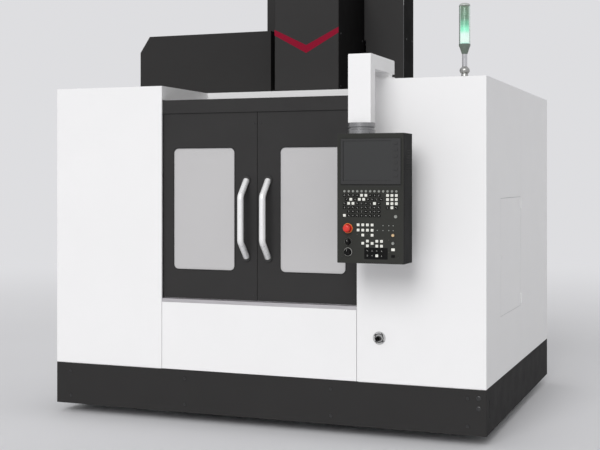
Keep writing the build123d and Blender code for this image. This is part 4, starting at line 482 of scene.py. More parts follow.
def worked_metal(name, colour, roughness, stretch, scale=420.0):
    """Ground or turned metal, with tool marks drawn out along one way."""
    made = Finish(name, metallic=1.0)
    marks = made.noise(scale, 3.0, stretch)
    return made.dress(colour, (marks, 0.08),
                      (made.sum(marks, made.noise(7.0), 0.3), roughness - 0.06, roughness + 0.1),
                      (marks, 0.00008, 0.0008))


def moulded(name, colour, roughness, coat=0.0, grain=0.00012, scale=1400.0, specular=0.5):
    """Moulded plastic or rubber with a spark-eroded grain."""
    return grained(name, colour, ((14.0,), 0.03), ((60.0,), roughness - 0.04, roughness + 0.05),
                   ((scale, 1.0), grain, 0.0006), coat=coat, specular=specular)


def frosted_pane(name, colour):
    """Pale polycarbonate pane with a hazed surface under a clear face."""
    return grained(name, colour, ([(1.4,), (24.0, 3.0), 0.15], 0.016), ((45.0, 3.0), 0.34, 0.46),
                   ([(600.0,), (3.0, 1.0), 3.0], 0.00006), coat=0.3, coat_roughness=0.12)


def dark_display(name, colour):
    """Switched-off display behind its cover glass, with the faint rows of its panel."""
    return grained(name, colour, ([(5.0, 1.0), (500.0, 1.0, (0.05, 1.0, 1.0)), 0.4], 0.1),
                   ((900.0, 1.0), 0.3, 0.36), ((1600.0, 1.0), 0.00002), coat=0.6, coat_roughness=0.08)


def lit_lens(name, colour):
    """Tinted light guide with the lamp burning in its lower half."""
    made = Finish(name, roughness=0.25, coat=0.5, glow=0.95)
    stops = ((0.0, (0.8, 0.98, 0.95)), (1.0, (0.36, 0.38, 0.33)), (0.05, (0.97, 1.0, 1.0)),
             (0.22, (0.95, 1.0, 1.0)), (0.34, (0.6, 0.97, 0.84)), (0.5, (0.4, 0.7, 0.58)),
             (0.64, (0.36, 0.46, 0.39)))
    height = made.between(made.coords, "Z", LENS[0].z, LENS[1].z)
    light = made.ramp(height, [(share, linear(shade)) for share, shade in stops], "EASE")
    made.links.new(light, made.shader.inputs["Emission Color"])
    return made.dress(colour, (made.noise(30.0), 0.05), (made.noise(80.0), 0.2, 0.3),
                      (made.noise(120.0, 1.0, (1.0, 1.0, 0.02)), 0.0004))


def clear_sleeve(name, colour):
    """Clear acrylic tube with polished faces."""
    return grained(name, colour, ((20.0,), 0.01), ((60.0,), 0.03, 0.06), ((200.0, 1.0), 0.00002),
                   roughness=0.04, transmission=1.0, ior=1.49)


def clear_bowl(name, colour):
    """Clear plastic of a bowl or sight glass, a little yellowed by oil."""
    return grained(name, colour, ((20.0,), 0.05), ((60.0,), 0.1, 0.2), ((300.0, 1.0), 0.00005),
                   roughness=0.12, coat=0.4, transmission=0.55, ior=1.49)


def dark_satin(name, colour):
    """Black anodised metal with a soft sheen."""
    return grained(name, colour, ((90.0, 2.0, (1.0, 1.0, 0.05)), 0.05), ((60.0,), 0.26, 0.34),
                   ((500.0,), 0.00003, 0.001), metallic=0.85)


def lamp_glow(name, colour, strength):
    """Small lamp behind a diffusing cap."""
    return grained(name, colour, ((300.0, 1.0), 0.04), ((200.0, 1.0), 0.25, 0.35), ((900.0, 1.0), 0.00005),
                   roughness=0.3, coat=0.4, glow=strength, glow_colour=(*linear(colour), 1.0))


FINISHES = {}


def finish(name):
    """A finish by its name, built once from the colours in the panel."""
    if name not in FINISHES:
        paint = bpy.context.scene.machine_paint
        # lighter edges of the dark paints: partly wear, partly painted highlight
        worn_and_highlit_edges = {"wear_and_painted_highlight": paint.wear_and_painted_highlight}
        along_x, along_y, along_z = (0.03, 1.0, 1.0), (1.0, 0.03, 1.0), (1.0, 1.0, 0.03)
        FINISHES[name] = {
            "white_sheet": lambda: powder_coat("white_powder_coat", paint.white, 0.45, 0.008, peel=0.00006),
            "dark_sheet": lambda: powder_coat("dark_powder_coat", paint.dark, 0.66, specular=0.03, **worn_and_highlit_edges),
            # sides of the head and column covers darkened as painted shade
            "hood_sheet": lambda: powder_coat("hood_powder_coat", paint.hood, 0.72, specular=0.04,
                                              painted_side_shade=paint.painted_side_shade_colour, **worn_and_highlit_edges),
            # sides of the pendant darkened as painted shade
            "pendant_sheet": lambda: powder_coat("pendant_powder_coat", paint.pendant, 0.66, specular=0.06,
                                                 painted_side_shade=(0.15, 0.15, 0.15), **worn_and_highlit_edges),
            "door_sheet": lambda: powder_coat("door_powder_coat", paint.door, 0.6, specular=0.2, **worn_and_highlit_edges),
            "inner_sheet": lambda: powder_coat("guard_paint", paint.inner, 0.4),
            "stripe": lambda: powder_coat("stripe_paint", paint.stripe, 0.55, 0.01, 0.0, 0.1),
            "dark_satin": lambda: dark_satin("dark_satin_metal", (0.56, 0.56, 0.565)),
            "cast_body": lambda: cast_paint("casting_enamel", paint.casting),
            "motor_black": lambda: cast_paint("motor_enamel", (0.09, 0.09, 0.095)),
            "steel": lambda: worked_metal("ground_steel", (0.62, 0.62, 0.63), 0.34, along_x),
            "rail_steel": lambda: worked_metal("rail_steel", (0.66, 0.66, 0.67), 0.24, along_y),
            "cover_steel": lambda: worked_metal("way_cover_steel", (0.58, 0.585, 0.59), 0.38, along_y, 700.0),
            "turned_steel": lambda: worked_metal("turned_steel", (0.6, 0.6, 0.61), 0.3, (1.0, 1.0, 9.0),
                                                 120.0),
            "sill_steel": lambda: worked_metal("brushed_sill", (0.74, 0.73, 0.74), 0.42, along_x),
            "satin_stem": lambda: worked_metal("satin_stem", (0.66, 0.66, 0.65), 0.3, along_z),
            "chrome": lambda: worked_metal("hard_chrome", (0.8, 0.8, 0.81), 0.16, along_z),
            "brass": lambda: worked_metal("brass", (0.78, 0.62, 0.33), 0.28, along_z),
            "fastener": lambda: moulded("black_oxide_steel", (0.13, 0.13, 0.135), 0.36, 0.2, 0.00005, 900.0),
            "black_plastic": lambda: moulded("black_moulding", (0.085, 0.085, 0.09), 0.45),
            "knob_black": lambda: moulded("knob_black", (0.03, 0.03, 0.03), 0.5, specular=0.15),
            "screen_frame": lambda: moulded("screen_frame", (0.12, 0.12, 0.122), 0.5),
            "coupling": lambda: coupling("coupling_zinc", (0.74, 0.74, 0.74), (0.15, 0.15, 0.15)),
            "rubber": lambda: moulded("black_rubber", (0.06, 0.06, 0.062), 0.7, 0.0, 0.0003, 500.0),
            "grey_rubber": lambda: moulded("pale_foam_rubber", (0.8, 0.8, 0.81), 0.8, 0.0, 0.0003, 700.0),
            "handle_tube": lambda: handle_tube("handle_tube", paint.handle, paint.door),
            "key_white": lambda: moulded("white_key", (0.93, 0.93, 0.9), 0.4),
            "key_grey": lambda: moulded("grey_key", (0.55, 0.56, 0.54), 0.4),
            "key_dark": lambda: moulded("dark_key", (0.03, 0.03, 0.03), 0.6, specular=0.15),
            "key_amber": lambda: moulded("amber_key", (0.84, 0.72, 0.55), 0.4),
            "yellow_ring": lambda: moulded("yellow_moulding", (0.93, 0.6, 0.16), 0.4),
            "red_plastic": lambda: moulded("red_moulding", paint.stop, 0.3, 0.3, 0.00004),
            "drive_grey": lambda: moulded("drive_housing", (0.72, 0.72, 0.7), 0.5),
            "marking": lambda: moulded("white_marking", (0.82, 0.82, 0.8), 0.5, 0.0, 0.00003),
            "cap_grey": lambda: moulded("lens_cap_grey", (0.66, 0.68, 0.66), 0.35, 0.3),
            "cup_green": lambda: moulded("lens_cup_green", (0.38, 0.43, 0.39), 0.25, 0.5),
            "frosted": lambda: frosted_pane("frosted_pane", paint.pane),
            "display": lambda: dark_display("dark_display", paint.display),
            "lens": lambda: lit_lens("green_light_guide", (0.34, 0.42, 0.37)),
            "sleeve": lambda: clear_sleeve("clear_sleeve", (0.93, 0.98, 0.95)),
            "led_green": lambda: lamp_glow("green_indicator", (0.45, 0.9, 0.6), 0.5),
            "led_pale": lambda: lamp_glow("pale_indicator", (0.62, 0.64, 0.62), 0.15),
            "led_off": lambda: lamp_glow("unlit_indicator", (0.3, 0.29, 0.27), 0.0),
            "lamp_cover": lambda: lamp_glow("work_lamp_cover", (0.95, 0.96, 0.97), 0.35),
            "clear_bowl": lambda: clear_bowl("clear_bowl", (0.86, 0.84, 0.74)),
            "oil": lambda: clear_bowl("oil_in_glass", (0.8, 0.62, 0.25)),
        }[name]()
    return FINISHES[name]


NODE_FINISHES = {
    "white_sheet": ["left_cabinet", "right_cabinet", "side_hatch", "rear_beam", "front_lower_panel",
                    "pendant_arm", "swivel_flange", "electrical_cabinet", "electrical_door"],
    "hood_sheet": ["head_cover", "column_cover"],
    "dark_sheet": ["magazine_cover", "front_skirt", "side_skirts"],
    "pendant_sheet": ["pendant_housing", "control_plate"],
    "dark_satin": ["pendant_neck"],
    "door_sheet": ["door_header", "left_door", "right_door"],
    "inner_sheet": ["splash_guard", "coolant_tank"],
    "cast_body": ["bed_casting", "column_casting", "saddle", "headstock", "atc_gearbox"],
    "steel": ["levelling_feet", "table", "magazine_disc", "atc_arm"],
    "coupling": ["air_coupling"],
    "knob_black": ["feed_knob", "mode_knob"],
    "rail_steel": ["guide_rails", "x_rails"],
    "cover_steel": ["y_cover_middle", "y_cover_saddle"],
    "turned_steel": ["spindle_cartridge", "spindle"],
    "sill_steel": ["sill_rail"],
    "chrome": ["x_ballscrew", "y_ballscrew", "z_ballscrew", "atc_shaft"],
    "motor_black": ["axis_motors", "x_motor", "spindle_motor"],
    "black_plastic": ["tool_pots", "change_pot", "panel_keys"],
    "screen_frame": ["screen_bezel"],
    "satin_stem": ["tower_light_base"],
    "handle_tube": ["left_handle", "right_handle"],
    "red_plastic": ["estop_button"],
    "frosted": ["left_window", "right_window"],
    "display": ["screen_glass"],
    "lens": ["tower_light_lens"],
}


# Settings


def tone(name, description, default):
    """Colour setting of the panel."""
    return FloatVectorProperty(name=name, description=description, subtype="COLOR_GAMMA", size=3, min=0.0,
                               max=1.0, default=default)


def length(name, description, default):
    """Length setting of the panel, in metres."""
    return FloatProperty(name=name, description=description, subtype="DISTANCE", default=default)


class MachinePaint(PropertyGroup):
    white: tone("White sheet", "Paint of the cabinets and the pendant arm", (0.93, 0.928, 0.93))
    dark: tone("Dark sheet", "Paint of the magazine cover, the skirts and the pendant's vents",
               (0.205, 0.202, 0.202))
    hood: tone("Hood", "Paint of the front panels of the head and column covers", (0.225, 0.222, 0.222))
    # painted shade for the sides of the head and column covers, not a paint of their own
    painted_side_shade_colour: tone("Hood flanks", "Paint of the side panels of the head and column covers", (0.05, 0.047, 0.047))
    pendant: tone("Pendant", "Paint of the control pendant", (0.215, 0.217, 0.207))
    door: tone("Doors", "Paint of the doors and their header", (0.185, 0.182, 0.182))
    # lighter colour of the dark paints' edges: partly wear, partly painted highlight
    wear_and_painted_highlight: tone("Rubbed edge", "Shade of the dark paint along its edges", (0.28, 0.275, 0.275))
    inner: tone("Inner sheet", "Paint of the splash guard and the coolant tank", (0.64, 0.645, 0.65))
    casting: tone("Castings", "Enamel of the bed, column, saddle and head", (0.5, 0.52, 0.53))
    handle: tone("Handles", "Colour of the door handles", (0.96, 0.96, 0.96))
    pane: tone("Window panes", "Colour of the hazed window panes", (0.74, 0.735, 0.738))
    display: tone("Display", "Colour of the display when it is off", (0.04, 0.05, 0.048))
    stop: tone("Stop button", "Colour of the emergency stop button", (0.84, 0.16, 0.1))
    stripe: tone("Stripe", "Colour of the V stripe on the head cover", (0.53, 0.03, 0.16))


class MachineView(PropertyGroup):
    distance: length("Distance", "From the front plane to the camera", 6.234)
    across: length("Across", "Camera's place to the right of the middle", 2.668)
    eye: length("Eye height", "Camera's height above the floor", 1.492)
    yaw: FloatProperty(name="Yaw", description="Turn of the camera to the left", subtype="ANGLE",
                       default=math.radians(20.95))
    lens: FloatProperty(name="Lens", description="Focal length on a 36 mm sensor", default=68.16)
    lift: FloatProperty(name="Lift", description="Upward share of the picture that the lens is shifted by",
                        default=-0.0783)
    key: FloatProperty(name="Key light", description="Strength of the soft light from the front",
                       default=1.6)
    ambient: FloatProperty(name="Ambient", description="Strength of the even light from all round",
                           default=0.55)


class MachineTrim(PropertyGroup):
    skirt_screw: length("Skirt screw", "Radius of the screw heads in the skirts", 0.010)
    sheet_screw: length("Sheet screw", "Radius of the screw heads in covers and panels", 0.006)
    gasket: length("Gasket", "Width of the rubber round each window", 0.006)
    key_w: length("Key width", "Width of a key cap", 0.0152)
    key_h: length("Key height", "Height of a key cap", 0.0145)
    key_t: length("Key thickness", "How far a key cap stands out of the plate", 0.003)
    lead: length("Screw lead", "Travel of a ball nut for one turn of its screw", 0.020)
    thread: IntProperty(name="Thread steps", description="Segments in one turn of a screw thread", default=16)
    stripe_half: length("Stripe half width", "Half of the width of the stripe on the head cover", 0.228)


# Enclosure


class MACHINE_OT_finishes(Operator):
    """Give every CAD piece its own finish"""
    bl_idname = "machine.finishes"
    bl_label = "Finishes"

    def execute(self, context):
        for name, nodes in NODE_FINISHES.items():
            for node in nodes:
                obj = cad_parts[node]
                if not obj.material_slots:
                    obj.data.materials.append(finish(name))
                for slot in obj.material_slots:
                    slot.material = finish(name)
        return {"FINISHED"}


class MACHINE_OT_stripe(Operator):
    """V-shaped stripe across the front of the head cover"""
    bl_idname = "machine.stripe"
    bl_label = "Stripe"

    def execute(self, context):
        half = context.scene.machine_trim.stripe_half
        y = HEAD_COVER[0].y - PROUD
        end, apex = (2.452, 2.49), (2.325, 2.378)
        outline = [(-half, end[1]), (-half, end[0]), (0.0, apex[0]), (half, end[0]), (half, end[1]),
                   (0.0, apex[1])]
        bm = bmesh.new()
        slab(bm, [(x, y, z) for x, z in outline], REAR * PROUD)
        piece("head_stripe", bm, "head", "stripe", smooth=False)
        return {"FINISHED"}


class MACHINE_OT_skirt_fasteners(Operator):
    """Screws and ringed plugs in the front and side skirts"""
    bl_idname = "machine.skirt_fasteners"
    bl_label = "Skirt fasteners"

    def execute(self, context):
        radius = context.scene.machine_trim.skirt_screw
        heights, sunk = (SKIRT[0].z + 0.05, SKIRT[1].z - 0.051), 0.0031
        spots = grid((-1.28, -0.473, 0.473, 1.28), (FRONT_Y,), heights, FRONT)
        spots += on_flanks(SIDE_X - sunk, [FRONT_Y + y for y in (0.35, 1.0, 1.65, 2.08)], heights)
        screws("skirt_screws", spots, "base", radius)
        bm = bmesh.new()
        for z in (0.211, 0.269):
            lathe(bm, [(0.0, 0.0), (0.014, 0.0), (0.014, 0.0015), (0.012, 0.0028), (0.0085, 0.0028),
                       (0.008, 0.0012), (0.0, 0.0012)], (1.341, FRONT_Y, z), FRONT, 24)
        piece("skirt_plugs", bm, "base", "fastener")
        return {"FINISHED"}


class MACHINE_OT_sheet_fasteners(Operator):
    """Plugs in the roof, and screws of the rear sheets, the covers on the roof and the head cover"""
    bl_idname = "machine.sheet_fasteners"
    bl_label = "Sheet fasteners"

    def execute(self, context):
        radius = context.scene.machine_trim.sheet_screw
        bm = bmesh.new()
        plug = [(0.0, 0.0), (0.022, 0.0), (0.022, 0.003), (0.017, 0.006), (0.0, 0.007)]
        for x, y in ((1.33, 1.60), (1.33, 2.115), (0.70, 1.60), (0.70, 1.95)):
            for side in SIDES:
                lathe(bm, plug, (side * x, FRONT_Y + y, ROOF_Z), UP, 24)
        piece("roof_plugs", bm, "base", "black_plastic")
        spots = grid((-0.66, -1.36, 0.66, 1.36), (REAR_Y,), (0.4, 0.9, 1.4, 1.9), REAR)
        screws("rear_sheet_screws", spots, "base", radius)

        low, high = COLUMN_COVER
        foot, middle, top = low.z + 0.025, (low.z + high.z) / 2, high.z - 0.03
        spots = grid((-0.30, -0.47, 0.30, 0.47), (low.y,), (foot, top), FRONT)
        spots += on_flanks(high.x, (low.y + 0.06, high.y - 0.04), (foot, middle, top))
        low, high = MAGAZINE_COVER
        foot = (low.z + 0.025,)
        spots += grid((-1.27, -1.03, -0.80, -0.57, -0.34), (low.y,), foot, FRONT)
        spots += grid((-1.27, -0.80, -0.56), (high.y,), foot, REAR)
        for x, normal in ((low.x, LEFT), (high.x, RIGHT)):
            spots += grid((x,), (low.y + 0.05, high.y - 0.05), foot, normal)
        screws("cover_screws", spots, "base", radius)
        cover_x = -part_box("spindle_motor")[0].x + 0.105
        spots = on_flanks(cover_x, (HEAD_COVER[0].y + 0.04, 0.40), (1.74, 2.1, 2.45, 2.77))
        screws("head_cover_screws", spots, "head", radius, 0.0025)
        return {"FINISHED"}


class MACHINE_OT_roof_seams(Operator):
    """Lap seams of the roof sheets and the seal round the slot for the head"""
    bl_idname = "machine.roof_seams"
    bl_label = "Roof seams"

    def execute(self, context):
        bm = bmesh.new()
        for inner, y in ((0.645, FRONT_Y + 0.66), (0.53, FRONT_Y + 1.72)):
            both(bm, (inner, y, ROOF_Z), (1.375, y + 0.025, ROOF_Z + 0.0015), 0.0006, 1)
        piece("roof_seams", bm, "base", "white_sheet")
        bm = bmesh.new()
        y, inner, outer, top = HEAD_COVER[0].y, 0.242, 0.254, ROOF_Z + 0.004
        both(bm, (inner, y + 0.02, ROOF_Z), (outer, 0.44, top), 0.001)
        plate(bm, (-outer, y - 0.024, ROOF_Z), (outer, y - 0.0125, top), 0.001)
        piece("head_slot_seal", bm, "base", "rubber")
        return {"FINISHED"}


class MACHINE_OT_hatch_trim(Operator):
    """Hinge screws and the pale foam gasket round the side hatch, whose pale colour is partly painted
    highlight along the hatch's edges
    """
    bl_idname = "machine.hatch_trim"
    bl_label = "Hatch trim"

    def execute(self, context):
        low, high = HATCH
        axis_y, leaf_x = FRONT_Y + 1.078, SIDE_X + 0.0015
        heights = [z + step for z in (low.z + 0.043, high.z - 0.043) for step in (-0.018, 0.018)]
        screws("hinge_screws", grid((leaf_x,), (axis_y + 0.018,), heights, RIGHT), "base", 0.0042, 0.0012,
               "satin_stem")
        seam, inner, outer = 0.0027, SIDE_X - 0.0025, SIDE_X - 0.0003
        y1 = FRONT_Y + 1.067
        bm = bmesh.new()
        plate(bm, (inner, low.y - seam, low.z - seam), (outer, low.y - 0.0003, high.z + seam), 0.0004, 1)
        for z in (low.z - seam, high.z + 0.0003):
            plate(bm, (inner, low.y - seam, z), (outer, y1, z + 0.0024), 0.0004, 1)
        # the gasket's pale colour is partly painted highlight, a light line along the hatch's edges
        piece("hatch_gasket_and_highlight", bm, "base", "grey_rubber")
        return {"FINISHED"}


class MACHINE_OT_door_trim(Operator):
    """Rubber round each window and the lips where the doors meet"""
    bl_idname = "machine.door_trim"
    bl_label = "Door trim"

    def execute(self, context):
        width, lap = context.scene.machine_trim.gasket, 0.0115
        low, high = WINDOW[0] + Vector((lap, 0, lap)), WINDOW[1] - Vector((lap, 0, lap))
        for side, name in DOORS:
            body = f"{name}_door"
            x0, x1 = sorted((side * low.x, side * high.x))
            bm = bmesh.new()
            rounded_frame(bm, Vector((x0, 0, low.z)), Vector((x1, 0, high.z)), DOOR_FACE + 0.002, 0.030,
                          width / 3, width * 2 / 3, 0.0034)
            piece(f"{name}_window_gasket", bm, body, "rubber")
            x0, x1 = sorted((side * 0.0007, side * 0.0021))
            bm = bmesh.new()
            plate(bm, (x0, DOOR_FACE + 0.004, DOOR[0].z + 0.004), (x1, DOOR_FACE + 0.026, DOOR[1].z - 0.025),
                  0.0004, 1)
            piece(f"{name}_door_lip", bm, body, "rubber")
            spots = grid((side * 0.022, side * 0.61), (DOOR_FACE,),
                         (DOOR[0].z + 0.03, DOOR[1].z - 0.145), FRONT)
            screws(f"{name}_door_screws", spots, body, 0.005, 0.002)
        return {"FINISHED"}


class MACHINE_OT_handle_gaskets(Operator):
    """Rubber washers under the feet of both bow handles"""
    bl_idname = "machine.handle_gaskets"
    bl_label = "Handle gaskets"

    def execute(self, context):
        low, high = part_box("right_handle")
        centre, foot = (low.x + high.x) / 2, 0.027
        for side, name in DOORS:
            bm = bmesh.new()
            for z in (low.z + foot, high.z - foot):
                ring(bm, (side * centre, DOOR_FACE, z), FRONT, 0.0262, 0.0276, 0.0, 0.0014, 40)
            piece(f"{name}_handle_gaskets", bm, f"{name}_door", "rubber")
        return {"FINISHED"}


class MACHINE_OT_closing_strips(Operator):
    """Caps over the door pockets, and pale seals in the joints beside the lower panel"""
    bl_idname = "machine.closing_strips"
    bl_label = "Closing strips"

    def execute(self, context):
        header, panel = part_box("door_header"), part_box("front_lower_panel")
        half = DOOR[1].x
        caps, seals = bmesh.new(), bmesh.new()
        both(caps, (half + 0.0002, FRONT_Y + 0.0005, header[1].z + 0.003),
             (half + 0.0018, GUARD[0].y - 0.0125, ROOF_Z - 0.0005), 0.0005, 1)
        both(seals, (panel[1].x + 0.0001, FRONT_Y + 0.0004, panel[0].z + 0.002),
             (half - 0.0001, FRONT_Y + 0.003, panel[1].z - 0.002))
        piece("pocket_caps", caps, "base", "white_sheet")
        piece("joint_seals", seals, "base", "grey_rubber")
        return {"FINISHED"}


def arc(radius, height, start, end, steps, flat=1.0):
    """Outline points on an arc about the axis, between two angles above the horizon."""
    swept = [math.radians(start + (end - start) * i / steps) for i in range(steps + 1)]
    return [(radius * math.cos(a), height + radius * flat * math.sin(a)) for a in swept]


class MACHINE_OT_tower_light(Operator):
    """Light guide, clear sleeve and cap of the tower light, over its cup, stem and ball joint"""
    bl_idname = "machine.tower_light"
    bl_label = "Tower light"

    def execute(self, context):
        low, high = LENS
        centre = (low + high) / 2
        axis = Vector((centre.x, centre.y, 0))
        radius, tall = high.x - centre.x, high.z - low.z
        cap, wall = 0.016, 0.0022
        bm = bmesh.new()
        guide = radius - 0.0075
        lathe(bm, [(0.0, 0.001), (guide - 0.002, 0.001), (guide, 0.003), (guide, tall - cap - 0.004),
                   (guide - 0.002, tall - cap - 0.0005), (0.0, tall - cap - 0.0005)], axis + UP * low.z,
              UP, 40)
        piece("tower_light_guide", bm, "base", "lens", replaced=("tower_light_lens",))
        bm = bmesh.new()
        ring(bm, axis + UP * low.z, UP, radius - wall, radius, 0.0, tall - cap, 48)
        piece("tower_sleeve", bm, "base", "sleeve", replaced=("tower_light_lens",))
        bm = bmesh.new()
        lathe(bm, [(0.0, 0.0), (radius, 0.0), (radius, 0.004), (radius - 0.002, 0.009),
                   (radius - 0.006, 0.013), (radius - 0.013, cap), (0.0, cap)], axis + UP * (high.z - cap),
              UP, 40)
        piece("tower_cap", bm, "base", "cap_grey")

        roof, replaced = TOWER[0].z, ("tower_light_base",)
        foot, stem, ball, ball_z, cup_h = 0.045, 0.0145, 0.029, 0.049, 0.058
        bm = bmesh.new()
        lathe(bm, [(0.0, 0.0), (foot, 0.0), (foot, 0.005), (foot - 0.003, 0.008), (0.030, 0.010),
                   (0.021, 0.018), *arc(ball, ball_z, -50.0, 50.0, 12, 0.82), (stem, ball_z + 0.024),
                   (0.0, ball_z + 0.024)], axis + UP * roof, UP, 40)
        piece("tower_ball_joint", bm, "base", "satin_stem", replaced=replaced)
        bm = bmesh.new()
        bottom = low.z - roof - cup_h
        lathe(bm, [(0.0, ball_z + 0.022), (stem, ball_z + 0.022), (stem, bottom + 0.004),
                   (0.0, bottom + 0.004)], axis + UP * roof, UP, 40)
        piece("tower_stem", bm, "base", "chrome", replaced=replaced)
        bm = bmesh.new()
        lathe(bm, [(0.0, 0.0), (stem + 0.0015, 0.0), (stem + 0.003, 0.003), (radius - 0.004, cup_h - 0.022),
                   (radius + 0.001, cup_h - 0.012), (radius + 0.0015, cup_h - 0.001), (radius, cup_h),
                   (0.0, cup_h)], axis + UP * (low.z - cup_h), UP, 40)
        piece("tower_cup", bm, "base", "cup_green", replaced=replaced)
        spots = [(axis + UP * (roof + 0.0078) + Vector((math.cos(a), math.sin(a), 0)) * 0.0375, UP)
                 for a in angles(4, math.radians(45.0))]
        screws("tower_foot_screws", spots, "base", 0.0035)
        return {"FINISHED"}


class MACHINE_OT_air_port(Operator):
    """Knurled release sleeve, dust seal and flange screws of the compressed air coupling"""
    bl_idname = "machine.air_port"
    bl_label = "Air port"

    def execute(self, context):
        low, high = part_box("air_coupling")
        wall = Vector(((low.x + high.x) / 2, FRONT_Y, (low.z + high.z) / 2))
        bm = bmesh.new()
        for out in (0.012, 0.018):
            for turn in angles(28):
                spot = wall + FRONT * out + Vector((math.cos(turn), 0, math.sin(turn))) * 0.0146
                plate(bm, (-0.0009, -0.0025, -0.0004), (0.0009, 0.0025, 0.0006), 0.0, 1,
                      Matrix.Translation(spot) @ Matrix.Rotation(-turn + math.pi / 2, 4, "Y"))
        piece("coupling_grip", bm, "base", "fastener", smooth=False)
        bm = bmesh.new()
        ring(bm, wall, FRONT, 0.0062, 0.0112, 0.0335, 0.034, 32)
        ring(bm, wall, FRONT, 0.0225, 0.0262, 0.003, 0.0052, 40)
        piece("coupling_seal", bm, "base", "rubber")
        spots = [(wall + Vector((math.sin(a), 0, math.cos(a))) * 0.0315 + FRONT * 0.003, FRONT)
                 for a in angles(4, math.radians(30.0))]
        screws("coupling_screws", spots, "base", 0.0032, 0.0022)
        return {"FINISHED"}


# Pendant


STOP_AT, FEED_AT, MODE_AT, SIDE_COLUMN = (63.0, 190.0), (63.5, 117.0), (63.0, 61.0), 318.5


def on_plate(x, z, out=0.0):
    """Point on the control plate from millimetres right of and above the pendant's lower left corner."""
    return Vector((PENDANT[0].x + x / 1000.0, PLATE_FACE - out, PENDANT[0].z + z / 1000.0))


def key_cap(bm, x, z, trim, width=1.0):
    """Key cap with rounded edges and a shallow dish in its face."""
    half = Vector((trim.key_w * width / 2, 0, trim.key_h / 2))
    low, high = on_plate(x, z, trim.key_t) - half, on_plate(x, z) + half
    part = bmesh.new()
    plate(part, low, high, 0.0012)
    part.normal_update()
    top = min(part.faces, key=lambda f: f.calc_center_median().y)
    for inward, sunk in ((0.0016, 0.0), (0.0022, -0.0005)):
        bmesh.ops.inset_region(part, faces=[top], thickness=inward, depth=sunk, use_even_offset=True)
    join(bm, part)


def round_cap(bm, x, z, radius, out):
    """Round push button with a soft rim and a shallow dish."""
    lathe(bm, [(0.0, 0.0), (radius, 0.0), (radius, out - 0.0012), (radius - 0.0012, out),
               (radius * 0.62, out), (radius * 0.5, out - 0.0006), (0.0, out - 0.0009)], on_plate(x, z),
          FRONT, 24)


def keyboard():
    """Places of the letter and number keys as (row, column), in the order of the rows."""
    rows = [(0.0, [*range(9), 10, 11, 12]), (0.5, [*range(9)]), (0.0, [*range(9), 10, 11, 12]),
            (0.0, [*range(9), 10, 11, 12]), (0.0, [*range(1, 9)]), (0.0, [*range(1, 9)])]
    places = [(row, column + shift) for row, (shift, columns) in enumerate(rows) for column in columns]
    return places + [(1, 10.0), (1, 11.0), (1, 12.0)]


WHITE_KEYS = {0: (4, 5, 10, 11, 12), 1: (1.5, 3.5, 4.5, 10, 11, 12), 2: (1, 2, 7, 10, 11, 12), 3: (11,)}
OPERATOR_ROWS = ((209.5, (0, 1, 2, 3)), (181.0, (0, 1, 2, 3)), (154.0, (1, 3)), (122.0, (2, 4, 5)),
                 (110.0, (1, 3)), (96.0, (2, 4, 5)), (43.5, (4,)))
DARK_OPERATOR_ROWS = ((69.5, (2, 3, 4, 5)), (43.5, (2, 3, 5)))
SIDE_BUTTONS = ((155.0, "key_amber"), (112.0, "key_grey"))
SIDE_KEYS = ((78.0, "key_white"), (43.0, "key_dark"))


def legend(bm, x, z, out, pattern):
    """Generic mark on a key: one of a few arrangements of short bars, not a letter."""
    bars = (((-1.6, 0, 0.7, 4.4), (1.4, 0, 0.7, 4.4)), ((0, 1.8, 4.6, 0.7), (0, -1.8, 4.6, 0.7)),
            ((0, 0, 0.8, 4.8), (1.6, -1.8, 2.6, 0.8)), ((-1.4, 1.2, 2.4, 1.6), (1.5, -1.4, 2.2, 0.8)),
            ((0, 0, 4.2, 0.8), (0, 1.7, 0.8, 2.6)))[pattern % 5]
    for bar in bars:
        dx, dz, width, height = [value * 1.5 for value in bar]
        low = on_plate(x + dx - width / 2, z + dz - height / 2, out + 0.0002)
        plate(bm, low, on_plate(x + dx + width / 2, z + dz + height / 2, out - 0.0003))


